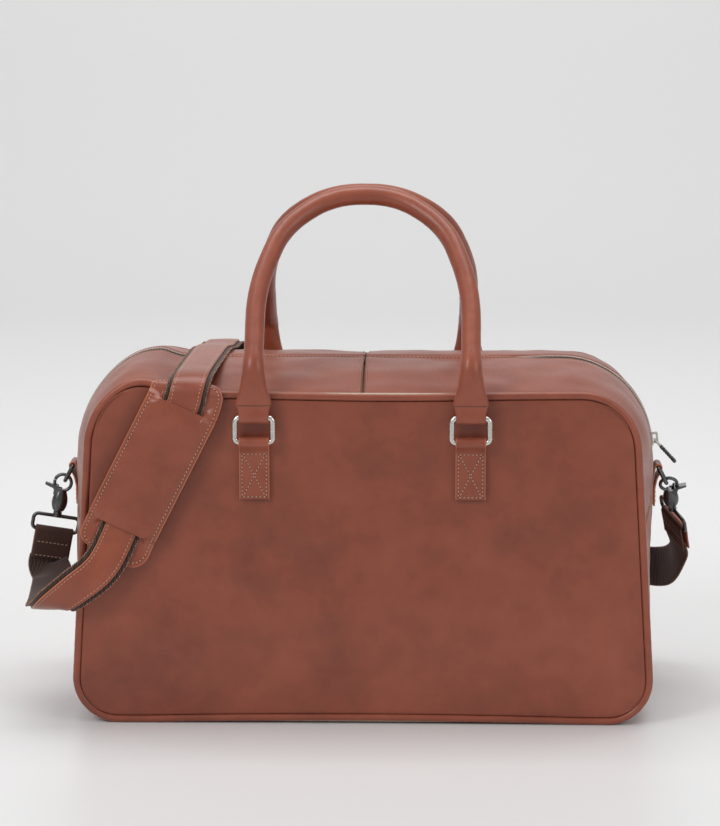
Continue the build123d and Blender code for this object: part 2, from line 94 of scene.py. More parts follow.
def finish_mesh(name, bm, body, replaces=(), material=None):
    """Turns a bmesh into an object that rides on a body and is named in the table."""
    mesh = bpy.data.meshes.new(name)
    bm.to_mesh(mesh)
    bm.free()
    for face in mesh.polygons:
        face.use_smooth = True
    piece = bpy.data.objects.new(name, mesh)
    bpy.context.scene.collection.objects.link(piece)
    if material:
        mesh.materials.append(material)
    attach(piece, body)
    if replaces:
        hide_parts(*replaces)
    return piece


def bent_grid(columns, rows, place, roll=False, caps=False, raw=None):
    """A grid whose point (a, b), both 0 to 1, goes to place(a, b). roll joins b=1 to b=0.
    raw(a, b), if given, says where the leather's cut edge shows."""
    bm = bmesh.new()
    bmesh.ops.create_grid(bm, x_segments=columns, y_segments=rows, size=1.0)
    layer = bm.verts.layers.float.new("raw_edge") if raw else None
    for vert in bm.verts:
        a, b = (vert.co.x + 1) / 2, (vert.co.y + 1) / 2
        vert.co = place(a, b)
        if raw:
            vert[layer] = raw(a, b)
    if roll:
        bmesh.ops.remove_doubles(bm, verts=bm.verts, dist=1e-6)
    if caps:
        open_edges = [edge for edge in bm.edges if edge.is_boundary]
        bmesh.ops.holes_fill(bm, edges=open_edges, sides=0)
        bmesh.ops.recalc_face_normals(bm, faces=bm.faces)
    return bm


def face_away_from(bm, centre):
    """Turns an open skin so that its faces look away from a point."""
    bm.normal_update()
    total = sum(face.normal.dot(face.calc_center_median() - centre) for face in bm.faces)
    if total < 0:
        bmesh.ops.reverse_faces(bm, faces=bm.faces)


def thicken(piece, thickness):
    """Gives a skin its thickness inwards."""
    wall = piece.modifiers.new("thickness", "SOLIDIFY")
    wall.thickness = thickness
    wall.offset = -1.0


# %% [markdown]
# ## Paths and sections
# A tube, a strap or a strip of leather is a section carried along a path. The path is a list of
# stations: a point, the way the section's width runs, and the way its top faces. A strip of
# leather has a rounded rectangle for its section, because a cut edge is never knife sharp.

# %% Sweeping
def stations_of(points, up):
    """Stations along a list of points, keeping the given top side as level as the path allows."""
    result = []
    for number, point in enumerate(points):
        ahead = points[min(number + 1, len(points) - 1)]
        behind = points[max(number - 1, 0)]
        tangent = (ahead - behind).normalized()
        top = (up - tangent * up.dot(tangent)).normalized()
        up = top
        result.append((point, tangent.cross(top), top))
    return result


def station_between(stations, share):
    place = share * (len(stations) - 1)
    low = min(int(place), len(stations) - 2)
    here, there = stations[low], stations[low + 1]
    part = place - low
    point, across, top = (mix(a, b, part) for a, b in zip(here, there))
    return point, across.normalized(), top.normalized()


def round_section(radius):
    def section(_, b):
        angle = 2 * math.pi * b
        return radius * math.cos(angle), radius * math.sin(angle)
    return section


def strip_section(width, thickness, corner):
    """Rounded rectangle; most of its points sit in the corners, where the shape turns."""
    def section(_, b):
        side, part = divmod(b * 8 + 0.5, 2)
        quarter = int(side) % 4
        half_w, half_t = width / 2 - corner, thickness / 2 - corner
        sign_x = (1, -1, -1, 1)[quarter]
        sign_y = (1, 1, -1, -1)[quarter]
        angle = math.pi / 2 * (quarter + min(part, 1.0))
        if part <= 1.0:
            return sign_x * half_w + corner * math.cos(angle), sign_y * half_t + corner * math.sin(angle)
        following = (quarter + 1) % 4
        end_x = (1, -1, -1, 1)[following] * half_w + corner * math.cos(angle)
        end_y = (1, 1, -1, -1)[following] * half_t + corner * math.sin(angle)
        start_x = sign_x * half_w + corner * math.cos(angle)
        start_y = sign_y * half_t + corner * math.sin(angle)
        return mix(start_x, end_x, part - 1), mix(start_y, end_y, part - 1)
    return section


def sweep(stations, section, columns, rows, caps=True, lift=0.0, raw_from=None):
    """Carries a section along stations. Points further than raw_from across count as cut edge."""
    def place(a, b):
        point, across, top = station_between(stations, a)
        u, v = section(a, b % 1.0)
        return point + across * u + top * (v + lift)
    raw = None
    if raw_from:
        def raw(a, b):
            return float(abs(section(a, b % 1.0)[0]) > raw_from)
    return bent_grid(columns, rows, place, roll=True, caps=caps, raw=raw)


def rounded_path(corners, radii, steps=10):
    """Runs joined by tangent arcs, as a list of points."""
    points = [corners[0]]
    for before, corner, after, radius in zip(corners, corners[1:], corners[2:], radii):
        into, out = (corner - before).normalized(), (after - corner).normalized()
        turn = into.angle(out)
        back = radius * math.tan(turn / 2)
        start = corner - into * back
        centre = start + (out - into * into.dot(out)).normalized() * radius
        for k in range(steps + 1):
            arm = start - centre
            arm.rotate(Matrix.Rotation(turn * k / steps, 3, into.cross(out)))
            points.append(centre + arm)
    points.append(corners[-1])
    return points


def resampled(points, spacing):
    """The same line with even steps of about spacing."""
    lengths = [0.0]
    for a, b in zip(points, points[1:]):
        lengths.append(lengths[-1] + (b - a).length)
    count = max(2, round(lengths[-1] / spacing))
    result, low = [], 0
    for k in range(count + 1):
        mark = lengths[-1] * k / count
        while low < len(points) - 2 and lengths[low + 1] < mark:
            low += 1
        span = max(lengths[low + 1] - lengths[low], 1e-9)
        result.append(mix(points[low], points[low + 1], (mark - lengths[low]) / span))
    return result


# %% [markdown]
# ## Stitches
# Sewing makes leather goods look real, and each stitch is a short thread that dips at both ends.
# A squashed sphere of few faces is enough, because there are thousands. A row follows a line of
# points, and each stitch leans a little across the row, as saddle stitching does.

# %% Beads
def bead_mesh(name, around, up, material_index=0):
    """A small sphere of few faces, kept as a mesh so that thousands of copies are cheap."""
    bm = bmesh.new()
    bmesh.ops.create_uvsphere(bm, u_segments=around, v_segments=up, radius=1.0)
    for face in bm.faces:
        face.material_index = material_index
    mesh = bpy.data.meshes.new(name)
    bm.to_mesh(mesh)
    bm.free()
    return mesh


BEAD = bead_mesh("bead", 6, 4)
# A flat bead for the needle holes; it takes the near-black finish in slot 1, which is painted shade.
HOLE_SHADE_BEAD = bead_mesh("hole_shade_bead", 6, 3, 1)


def add_bead(bm, bead, place):
    """Adds a copy of the bead, placed and stretched by a matrix, to a bmesh."""
    bead.transform(place)
    bm.from_mesh(bead)
    bead.transform(place.inverted())


# %% Rows of stitches
STITCH_PITCH = 3.6 * MM
STITCH_LENGTH = 2.7 * MM
STITCH_R = 0.42 * MM
STITCH_LEAN = math.radians(7)


def add_row(bm, points, tops, pitch=STITCH_PITCH, length=STITCH_LENGTH, radius=STITCH_R, holes=True):
    """Stitches along points; tops are the surface's outward directions there."""
    marks = [0.0]
    for a, b in zip(points, points[1:]):
        marks.append(marks[-1] + (b - a).length)
    count = max(1, int(marks[-1] / pitch))
    low = 0
    for k in range(count):
        mark = (k + 0.5) * marks[-1] / count
        while low < len(points) - 2 and marks[low + 1] < mark:
            low += 1
        part = (mark - marks[low]) / max(marks[low + 1] - marks[low], 1e-9)
        point = mix(points[low], points[low + 1], part)
        along = (points[low + 1] - points[low]).normalized()
        top = mix(tops[low], tops[low + 1], part)
        top = (top - along * top.dot(along)).normalized()
        turn = Matrix((along, top.cross(along), top)).transposed()
        lean = Matrix.Rotation(STITCH_LEAN, 3, "Z")
        size = Matrix.Diagonal((length / 2, radius, radius))
        place = Matrix.Translation(point + top * radius * 0.35) @ (turn @ lean @ size).to_4x4()
        add_bead(bm, BEAD, place)
        # Painted shade: after each stitch a small flat near-black bead stands for the shade in the needle hole.
        if holes:
            size = Matrix.Diagonal((0.6 * MM, 0.5 * MM, 0.25 * MM))
            add_bead(bm, HOLE_SHADE_BEAD, Matrix.Translation(point + along * pitch / 2) @ (turn @ size).to_4x4())
    return count


def stitched(name, rows, body, slot, material, **look):
    bm = bmesh.new()
    total = sum(add_row(bm, points, tops, **look) for points, tops in rows)
    print(name, total, "stitches")
    piece = finish_mesh(name, bm, body, material=material)
    # The second slot holds the near-black painted shade of the needle holes.
    piece.data.materials.append(NEEDLE_HOLE_SHADE)
    return piece


# %% [markdown]
# ## Shader groups
# Effects that several finishes share are node groups. `grain` gives leather its pores and fine
# creases as a height, and a slow cloudiness as a mask. `woven` gives cloth its over-and-under
# height. They put out only masks and heights; each material owns its own shader.

# %% Grain, cloud and weave groups
def new_group(name, inputs, outputs):
    group = bpy.data.node_groups.new(name, "ShaderNodeTree")
    for label, kind, value in inputs:
        socket = group.interface.new_socket(label, in_out="INPUT", socket_type=kind)
        if value is not None:
            socket.default_value = value
    for label, kind in outputs:
        group.interface.new_socket(label, in_out="OUTPUT", socket_type=kind)
    return group, group.nodes.new("NodeGroupInput"), group.nodes.new("NodeGroupOutput")


def noise_node(tree, vector, scale, detail=4.0, rough=0.55, distort=0.0):
    node = tree.nodes.new("ShaderNodeTexNoise")
    node.inputs["Scale"].default_value = scale
    node.inputs["Detail"].default_value = detail
    node.inputs["Roughness"].default_value = rough
    node.inputs["Distortion"].default_value = distort
    tree.links.new(vector, node.inputs["Vector"])
    return node.outputs["Fac"]


def math_node(tree, operation, first, second=None, clamp=False):
    node = tree.nodes.new("ShaderNodeMath")
    node.operation = operation
    node.use_clamp = clamp
    for socket, value in zip(node.inputs, (first, second)):
        if value is None:
            continue
        if isinstance(value, (int, float)):
            socket.default_value = value
        else:
            tree.links.new(value, socket)
    return node.outputs[0]


def ramp_node(tree, factor, stops):
    """A colour ramp; stops are (place, colour)."""
    node = tree.nodes.new("ShaderNodeValToRGB")
    elements = node.color_ramp.elements
    while len(elements) < len(stops):
        elements.new(0.5)
    for element, (place, colour) in zip(elements, stops):
        element.position = place
        element.color = (*colour, 1.0)
    tree.links.new(factor, node.inputs["Fac"])
    return node.outputs["Color"]


def make_grain_group():
    tree, source, sink = new_group(
        "leather_grain", [("Vector", "NodeSocketVector", None)],
        [("Height", "NodeSocketFloat"), ("Cloud", "NodeSocketFloat"), ("Pores", "NodeSocketFloat")])
    vector = source.outputs["Vector"]
    cells = tree.nodes.new("ShaderNodeTexVoronoi")
    cells.feature = "DISTANCE_TO_EDGE"
    cells.inputs["Scale"].default_value = 900
    tree.links.new(vector, cells.inputs["Vector"])
    pebbles = math_node(tree, "MULTIPLY", cells.outputs["Distance"], 0.7)
    creases = noise_node(tree, vector, 160, 6, 0.6, 0.6)
    ripples = noise_node(tree, vector, 28, 3, 0.5)
    height = math_node(tree, "ADD", pebbles, math_node(tree, "MULTIPLY", creases, 0.55))
    height = math_node(tree, "ADD", height, math_node(tree, "MULTIPLY", ripples, 0.9))
    broad = math_node(tree, "MULTIPLY", noise_node(tree, vector, 7, 5, 0.6, 0.4), 0.65)
    small = math_node(tree, "MULTIPLY", noise_node(tree, vector, 45, 4, 0.6), 0.35)
    cloud = math_node(tree, "ADD", broad, small)
    tree.links.new(height, sink.inputs["Height"])
    tree.links.new(cloud, sink.inputs["Cloud"])
    tree.links.new(noise_node(tree, vector, 700, 2, 0.5), sink.inputs["Pores"])
    return tree


def make_weave_group():
    tree, source, sink = new_group(
        "woven", [("Vector", "NodeSocketVector", None), ("Threads", "NodeSocketFloat", 1200.0)],
        [("Height", "NodeSocketFloat")])
    parts = tree.nodes.new("ShaderNodeSeparateXYZ")
    tree.links.new(source.outputs["Vector"], parts.inputs[0])
    waves = []
    for axis in ("X", "Y"):
        scaled = math_node(tree, "MULTIPLY", parts.outputs[axis], source.outputs["Threads"])
        waves.append(math_node(tree, "SINE", scaled))
    crossing = math_node(tree, "MULTIPLY", waves[0], waves[1])
    centred = math_node(tree, "ADD", math_node(tree, "MULTIPLY", crossing, 0.5), 0.5)
    tree.links.new(centred, sink.inputs["Height"])
    return tree


GRAIN = make_grain_group()
WEAVE = make_weave_group()


# %% [markdown]
# ## Finishes
# The leather is a waxed, smooth-milled hide: a base that clouds between two browns, a satin
# gloss that breaks up where the wax has rubbed, and a grain that only shows close to. Cut
# edges, where a piece marks them, turn a paler tan. The trim pieces share the recipe with their own tones.

# %% Leather
def new_material(name):
    material = bpy.data.materials.new(name)
    material.use_nodes = True
    tree = material.node_tree
    shader = tree.nodes["Principled BSDF"]
    place = tree.nodes.new("ShaderNodeTexCoord")
    return material, tree, shader, place.outputs["Object"]


def bumped(tree, shader, height, strength, distance):
    bump = tree.nodes.new("ShaderNodeBump")
    bump.inputs["Strength"].default_value = strength
    bump.inputs["Distance"].default_value = distance
    tree.links.new(height, bump.inputs["Height"])
    tree.links.new(bump.outputs["Normal"], shader.inputs["Normal"])


def group_node(tree, group, vector):
    node = tree.nodes.new("ShaderNodeGroup")
    node.node_tree = group
    tree.links.new(vector, node.inputs["Vector"])
    return node


RAW_EDGE = (0.50, 0.16, 0.075)


def leather(name, dark, middle, light, gloss=(0.31, 0.49), bump=0.35, sheen=0.08):
    material, tree, shader, vector = new_material(name)
    grain = group_node(tree, GRAIN, vector)
    colour = ramp_node(tree, grain.outputs["Cloud"], [(0.30, dark), (0.5, middle), (0.72, light)])
    edge = tree.nodes.new("ShaderNodeAttribute")
    edge.attribute_name = "raw_edge"
    blend = tree.nodes.new("ShaderNodeMix")
    blend.data_type = "RGBA"
    tree.links.new(edge.outputs["Fac"], blend.inputs["Factor"])
    tree.links.new(colour, blend.inputs[6])
    blend.inputs[7].default_value = (*RAW_EDGE, 1)
    tree.links.new(blend.outputs[2], shader.inputs["Base Color"])
    spread = tree.nodes.new("ShaderNodeMapRange")
    spread.inputs["From Min"].default_value = 0.3
    spread.inputs["From Max"].default_value = 0.7
    spread.inputs["To Min"].default_value = gloss[0]
    spread.inputs["To Max"].default_value = gloss[1]
    tree.links.new(grain.outputs["Pores"], spread.inputs["Value"])
    tree.links.new(spread.outputs["Result"], shader.inputs["Roughness"])
    shader.inputs["Sheen Weight"].default_value = sheen
    shader.inputs["Sheen Roughness"].default_value = 0.4
    shader.inputs["Coat Roughness"].default_value = 0.35
    bumped(tree, shader, grain.outputs["Height"], bump, 0.25 * MM)
    return material


BODY_LEATHER = leather("waxed_cognac_leather", (0.165, 0.036, 0.018), (0.24, 0.056, 0.028),
                       (0.31, 0.078, 0.039), gloss=(0.30, 0.46))
TRIM_LEATHER = leather("trim_leather", (0.18, 0.040, 0.020), (0.26, 0.062, 0.031), (0.34, 0.088, 0.044),
                       gloss=(0.27, 0.42), bump=0.3)
# Painted shade: a near-black leather for the beads in the needle holes, standing in for the shade inside them.
NEEDLE_HOLE_SHADE = leather("needle_hole_painted_shade", (0.012, 0.005, 0.004), (0.02, 0.008, 0.006), (0.03, 0.012, 0.009),
                      gloss=(0.7, 0.9))


# %% [markdown]
# The sewing thread is pale and slightly fuzzy. The webbing is a coarse dark weave. The metal is
# plated wire: bright for the handle rings, dark gunmetal for the strap's hardware, each with
# fine scratches that break its gloss.

# %% Thread, cloth and metal
def thread(name, colour, twist=2600):
    material, tree, shader, vector = new_material(name)
    fleck = noise_node(tree, vector, twist, 2, 0.6)
    darker = tuple(channel * 0.62 for channel in colour)
    tree.links.new(ramp_node(tree, fleck, [(0.35, darker), (0.65, colour)]), shader.inputs["Base Color"])
    shader.inputs["Roughness"].default_value = 0.72
    shader.inputs["Sheen Weight"].default_value = 0.2
    bumped(tree, shader, fleck, 0.4, 0.15 * MM)
    return material


def cloth(name, dark, light, threads, bump=0.8):
    material, tree, shader, vector = new_material(name)
    weave = group_node(tree, WEAVE, vector)
    weave.inputs["Threads"].default_value = threads
    # The colour follows the weave's height and is darker in its low places: painted shade in the weave's
    # hollows.
    colour = ramp_node(tree, weave.outputs["Height"], [(0.25, dark), (0.8, light)])
    tree.links.new(colour, shader.inputs["Base Color"])
    shader.inputs["Roughness"].default_value = 0.85
    shader.inputs["Sheen Weight"].default_value = 0.25
    bumped(tree, shader, weave.outputs["Height"], bump, 0.3 * MM)
    return material


def plated(name, colour, rough, scratch=0.08):
    material, tree, shader, vector = new_material(name)
    rubbed = noise_node(tree, vector, 420, 5, 0.7, 1.5)
    duller = tuple(channel * 0.72 for channel in colour)
    tree.links.new(ramp_node(tree, rubbed, [(0.35, duller), (0.6, colour)]), shader.inputs["Base Color"])
    shader.inputs["Metallic"].default_value = 1.0
    spread = tree.nodes.new("ShaderNodeMapRange")
    spread.inputs["To Min"].default_value = rough
    spread.inputs["To Max"].default_value = rough + 0.22
    tree.links.new(rubbed, spread.inputs["Value"])
    tree.links.new(spread.outputs["Result"], shader.inputs["Roughness"])
    bumped(tree, shader, rubbed, scratch, 0.1 * MM)
    return material


PALE_THREAD = thread("pale_sewing_thread", (0.62, 0.40, 0.27))
BROWN_THREAD = thread("brown_sewing_thread", (0.17, 0.055, 0.03))
WEBBING = cloth("dark_brown_webbing", (0.018, 0.008, 0.006), (0.072, 0.035, 0.026), 2100)
ZIP_CLOTH = cloth("zip_tape_cloth", (0.02, 0.009, 0.006), (0.06, 0.027, 0.018), 4200)
LINING_CLOTH = cloth("lining_twill", (0.16, 0.11, 0.07), (0.30, 0.22, 0.14), 3600)
BOARD = cloth("stiffening_board", (0.03, 0.02, 0.016), (0.08, 0.06, 0.05), 900)
CORD = cloth("filler_cord_cotton", (0.35, 0.28, 0.2), (0.6, 0.52, 0.4), 2400)
NICKEL = plated("nickel_plate", (0.72, 0.70, 0.66), 0.14)
GUNMETAL = plated("gunmetal_plate", (0.13, 0.13, 0.132), 0.18)
ZIP_METAL = plated("zip_metal", (0.66, 0.63, 0.57), 0.22)
FINISH = {"ring_steel": NICKEL, "gunmetal": GUNMETAL, "zip_metal": ZIP_METAL, "lining_cloth": LINING_CLOTH,
          "board": BOARD, "filler_cord": CORD, "bag_leather": BODY_LEATHER, "strap_leather": TRIM_LEATHER,
          "webbing": WEBBING, "zip_tape": ZIP_CLOTH}
slot_of = {entry["node"]: entry["material_slot"] for entry in frame["record"]["subparts"]}
for node_name, node in nodes.items():
    if node.type == "MESH":
        for index in range(len(node.material_slots)):
            node.material_slots[index].material = FINISH[slot_of[node_name]]


# %% [markdown]
# ## The shell's surface
# One function says where the shell is. `s` runs round the outline in eight stretches, four
# straight and four corners, starting along the bottom, and `y` is the depth. Between the two
# piped seams the outline swells from the panel's trapezoid to the middle's. `settle` then adds
# what use does to a soft bag: the top edge dips between its corners, one front corner stands
# proud, and the leather waves a little everywhere.

# %% Where the leather lies
def outline_point(shape, s):
    """Point (x, z) of a rounded trapezoid."""
    low = 0.0 if shape.get("floor", True) else shape["low"]
    corners = [(-shape["bottom"], low), (shape["bottom"], low),
               (shape["top"], shape["high"]), (-shape["top"], shape["high"])]
    radii = [shape["r_bottom"], shape["r_bottom"], shape["r_top"], shape["r_top"]]
    corners = [Vector(corner) for corner in corners]

    def corner_arc(k):
        before, corner, after = corners[k - 1], corners[k], corners[(k + 1) % 4]
        into, out = (corner - before).normalized(), (after - corner).normalized()
        turn = math.atan2(into.x * out.y - into.y * out.x, into.dot(out))
        back = radii[k] * math.tan(turn / 2)
        start = corner - into * back
        centre = start + Vector((-into.y, into.x)) * radii[k]
        return start, centre, turn, corner + out * back
    s %= 8
    stretch, part = int(s), s - int(s)
    if stretch % 2:
        start, centre, turn, _ = corner_arc((stretch // 2 + 1) % 4)
        arm = start - centre
        angle = turn * part
        turned = Vector((arm.x * math.cos(angle) - arm.y * math.sin(angle),
                         arm.x * math.sin(angle) + arm.y * math.cos(angle)))
        return centre + turned
    begin = corner_arc(stretch // 2)[3]
    end = corner_arc((stretch // 2 + 1) % 4)[0]
    return mix(begin, end, part)


TABLE_STEPS = 96


def outline_table(shape):
    """Points and outward normals at even steps of s, worked out once because they are used so often."""
    points = [outline_point(shape, k / TABLE_STEPS) for k in range(8 * TABLE_STEPS)]
    table = []
    for k, point in enumerate(points):
        along = points[(k + 1) % len(points)] - points[k - 1]
        table.append((point, Vector((along.y, -along.x)).normalized()))
    return table


def table_point(table, s):
    place = (s % 8) * TABLE_STEPS
    low = int(place) % len(table)
    part = place - int(place)
    (p, n), (q, m) = table[low], table[(low + 1) % len(table)]
    return p + (q - p) * part, n + (m - n) * part


def length_table(shape, steps=24):
    """Length from s=0 at even steps of s, to turn lengths into s and back."""
    points = [outline_point(shape, k / steps) for k in range(8 * steps + 1)]
    total = [0.0]
    for a, b in zip(points, points[1:]):
        total.append(total[-1] + (b - a).length)
    return total, steps


EDGE_TABLE = outline_table(EDGE)
MIDDLE_TABLE = outline_table(MIDDLE)


MIDDLE_LENGTHS = length_table(MIDDLE)


def length_at(table, s):
    total, steps = table
    place = min(max(s * steps, 0), len(total) - 1.001)
    low = int(place)
    return mix(total[low], total[low + 1], place - low)


def s_at(table, length):
    total, steps = table
    low, high = 0, len(total) - 1
    while high - low > 1:
        half = (low + high) // 2
        if total[half] <= length:
            low = half
        else:
            high = half
    part = (length - total[low]) / max(total[high] - total[low], 1e-9)
    return (low + part) / steps


LEFT_CORNER_RISE = 11 * MM
BACK_CORNER_RISE = 4 * MM
TOP_DIP = 2.5 * MM
BOTTOM_LIFT = 2.5 * MM
WAVE = 1.3 * MM


def settle(point):
    """How far use has moved the leather from its pattern."""
    x, y, z = point
    near_top = smooth(0.20, 0.31, z)
    depth = smooth(-PIPING_Y, PIPING_Y, y)
    left = math.exp(-((x + 0.205) / 0.045) ** 2) * (1 - smooth(-0.19, -0.165, x))
    rise = near_top * left * mix(LEFT_CORNER_RISE, BACK_CORNER_RISE, depth)
    dip = near_top * TOP_DIP * math.exp(-((x - 0.02) / 0.11) ** 2)
    edge = (abs(y) / PIPING_Y) ** 4
    lift = (1 - smooth(0.0, 0.06, z)) * BOTTOM_LIFT * edge * max(0.0, 1 - (x / 0.2) ** 2)
    return Vector((0, 0, rise - dip * edge + lift))


def shell_point(s, y, grow=0.0):
    swell = 1 - (y / GUSSET_Y) ** 2
    edge, edge_out = table_point(EDGE_TABLE, s)
    middle, middle_out = table_point(MIDDLE_TABLE, s)
    flat = edge + (middle - edge) * swell
    out = edge_out + (middle_out - edge_out) * swell
    point = Vector((flat.x + out.x * grow, y, flat.y + out.y * grow))
    return point + settle(point)


def waves(point, amount, size):
    """A slow, seeded ripple, the same on every run."""
    return amount * noise.noise(Vector(point) / size + Vector((3.1, 7.7, 1.3)))


def arch_z(y):
    rise = ARCH_MID_Z - ARCH_EDGE_Z
    radius = (GUSSET_Y ** 2 + rise ** 2) / (2 * rise)
    return ARCH_MID_Z - radius + math.sqrt(radius ** 2 - y ** 2)


def arch_s(y, right):
    """Where the arched seam crosses the end face at depth y."""
    swell = 1 - (abs(y) / GUSSET_Y) ** 2
    stretch = 2 if right else 6
    low, high = (mix(table_point(EDGE_TABLE, s)[0], table_point(MIDDLE_TABLE, s)[0], swell).y
                 for s in (stretch, stretch + 0.99999))
    return stretch + (arch_z(y) - low) / (high - low)


# %% [markdown]
# ## Gussets and bottom
# The strip that joins the two panels is cut in seven: the bottom, two lower ends with an arched
# top seam, and four top quarters that meet at the centre seam and leave a slot for the zip.
# Each is a grid laid on the shell. Along the zip the edge is folded under, which makes a soft
# ridge, and at a seam the leather rolls down.

# %% Lips and seams
LIP_OPEN = 6.0 * MM         # half gap at the ends, where the slider runs
LIP_CLOSED = 1.1 * MM       # half gap over the top, where the lips nearly meet
LIP_RIDGE = 1.3 * MM
SEAM_ROLL = 0.9 * MM


def lip_y(s):
    """Half width of the zip slot round the outline."""
    x = abs(table_point(MIDDLE_TABLE, s)[0].x)
    return mix(LIP_CLOSED, LIP_OPEN, smooth(0.10, 0.185, x))


def rolled(distance, reach=2.2 * MM):
    return -SEAM_ROLL * math.exp(-(distance / reach) ** 2)


def gusset_lift(s, y):
    """Fine relief of the top quarters: lip ridge, centre seam, waves away from the seams."""
    from_lip = abs(y) - lip_y(s)
    point = shell_point(s, y)
    calm = smooth(0, 0.03, GUSSET_Y - abs(y)) * smooth(0, 0.02, from_lip)
    opening = smooth(LIP_CLOSED, LIP_OPEN, lip_y(s))
    ridge = LIP_RIDGE * (1 - 0.9 * opening if y < 0 else 1.0)
    lift = ridge * math.exp(-((from_lip - 3.6 * MM) / (2.6 * MM)) ** 2)
    lift += rolled(from_lip, 1.0 * MM) + rolled(GUSSET_Y - abs(y), 2.5 * MM)
    if 3.5 < s < 5.5:
        lift += rolled(abs(point.x), 1.6 * MM)
    else:
        seam = abs(point.z - arch_z(y))
        lift += rolled(seam, 1.6 * MM)
    return lift + calm * (waves(point, 2.2 * MM, 0.07) + waves(point, WAVE, 0.028))


def top_quarter(name, front, right):
    """One of the four leather pieces either side of the zip and of the centre seam."""
    sign = -1 if front else 1

    def place(a, b):
        depth = mix(GUSSET_Y, 4 * MM, b)
        low, high = (arch_s(depth, True), 4.4985) if right else (4.5015, arch_s(depth, False))
        length = mix(length_at(MIDDLE_LENGTHS, low), length_at(MIDDLE_LENGTHS, high), a)
        s = s_at(MIDDLE_LENGTHS, length)
        y = sign * mix(GUSSET_Y, lip_y(s), b ** 0.8)
        return shell_point(s, y, gusset_lift(s, y))
    bm = bent_grid(110, 46, place)
    face_away_from(bm, Vector((0, 0, 0.15)))
    piece = finish_mesh(name + "_skin", bm, "bag", (name,), BODY_LEATHER)
    thicken(piece, SKIN)
    return piece


for face in ("front", "back"):
    for side in ("left", "right"):
        top_quarter(f"top_gusset_{face}_{side}", face == "front", side == "right")


def lower_end(name, right):
    def place(a, b):
        y = mix(-GUSSET_Y, GUSSET_Y, b)
        low, high = (0.9935, arch_s(y, True)) if right else (arch_s(y, False), 8.0065)
        table_low, table_high = length_at(MIDDLE_LENGTHS, low), length_at(MIDDLE_LENGTHS, min(high, 8.0))
        s = s_at(MIDDLE_LENGTHS, mix(table_low, table_high, a))
        if high > 8.0 and a > 0.995:
            s = high
        point = shell_point(s, y)
        calm = smooth(0, 0.03, GUSSET_Y - abs(y)) * smooth(0.0, 0.05, point.z)
        lift = calm * (waves(point, 2.0 * MM, 0.06) + waves(point, WAVE, 0.025))
        lift += rolled(GUSSET_Y - abs(y), 2.5 * MM) * smooth(0.0, 0.02, point.z)
        lift += rolled(abs(point.z - arch_z(y)), 1.6 * MM)
        moved = shell_point(s, y, lift)
        moved.z = max(moved.z, 0.0)
        return moved
    bm = bent_grid(70, 48, place)
    face_away_from(bm, Vector((0, 0, 0.15)))
    piece = finish_mesh(name + "_skin", bm, "bag", (name,), BODY_LEATHER)
    thicken(piece, SKIN)
    return piece


lower_end("end_gusset_right", True)
lower_end("end_gusset_left", False)


def bottom_skin():
    low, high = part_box("bottom_panel")

    def place(a, b):
        x, y = mix(low[0], high[0], a), mix(low[1], high[1], b)
        point = Vector((x, y, 0.0))
        inside = smooth(0, 0.05, min(high[0] - abs(x), high[1] - abs(y)))
        return point + settle(point) + Vector((0, 0, inside * (0.8 * MM + waves(point, 0.5 * MM, 0.05))))
    bm = bent_grid(90, 46, place)
    face_away_from(bm, Vector((0, 0, 0.15)))
    piece = finish_mesh("bottom_panel_skin", bm, "bag", ("bottom_panel",), BODY_LEATHER)
    thicken(piece, SKIN)
    return piece


bottom_skin()


# %% [markdown]
# ## Front and back panels
# Each panel is one piece of hide, held tight by the piping all round and a little full in the
# middle. A square grid is bent so that its rim follows the outline and its middle stays even.

# %% Panels
PANEL_INSET = 4.7 * MM
PANEL = {"bottom": EDGE["bottom"] - PANEL_INSET, "top": EDGE["top"] - PANEL_INSET, "floor": False,
         "low": 7.2 * MM, "high": EDGE["high"] - PANEL_INSET, "r_bottom": 34.3 * MM, "r_top": 48.3 * MM}
PANEL_LENGTHS = length_table(PANEL)
FULLNESS = 4.5 * MM


def rim_point(u, v):
    """Outline point that belongs to a point on the edge of the square."""
    if abs(v) >= abs(u):
        side, share = (2, (1 - u / abs(v)) / 2) if v > 0 else (0, (1 + u / abs(v)) / 2)
    else:
        side, share = (1, (1 + v / abs(u)) / 2) if u > 0 else (3, (1 - v / abs(u)) / 2)
    total = PANEL_LENGTHS[0][-1]
    end = length_at(PANEL_LENGTHS, 2 * side + 1.5)
    start = length_at(PANEL_LENGTHS, 2 * side - 0.5) if side else length_at(PANEL_LENGTHS, 7.5) - total
    return outline_point(PANEL, s_at(PANEL_LENGTHS, mix(start, end, share) % total))


def panel_point(u, v, sign):
    reach = max(abs(u), abs(v))
    centre_z = (PANEL["low"] + PANEL["high"]) / 2
    half_z = (PANEL["high"] - PANEL["low"]) / 2
    half_x = mix(PANEL["bottom"], PANEL["top"], (v + 1) / 2)
    even = Vector((u * half_x, centre_z + v * half_z))
    if reach > 1e-6:
        even = mix(even, rim_point(u, v), reach ** 7)
    x, z = even
    held = (1 - reach ** 6)
    full = FULLNESS * held * math.exp(-((x - 0.02) / 0.2) ** 2 - ((z - 0.10) / 0.075) ** 2)
    calm = smooth(0, 0.25, 1 - reach)
    quiet = 1 - 0.8 * smooth(0.14, 0.2, z)
    full += calm * quiet * (waves((x, 0, z), 1.8 * MM, 0.09) + waves((x, 1, z), 0.9 * MM, 0.035))
    full += rolled((1 - reach) * half_z, 3 * MM) * 0.8
    point = Vector((x, sign * (PANEL_Y + full), z))
    return point + settle(Vector((x, sign * PIPING_Y, z)))


for face, sign in (("front", -1), ("back", 1)):
    bm = bent_grid(150, 90, lambda a, b: panel_point(2 * a - 1, 2 * b - 1, sign))
    face_away_from(bm, Vector((0, 0, 0.15)))
    panel = finish_mesh(f"{face}_panel_skin", bm, "bag", (f"{face}_panel",), BODY_LEATHER)
    thicken(panel, SKIN)
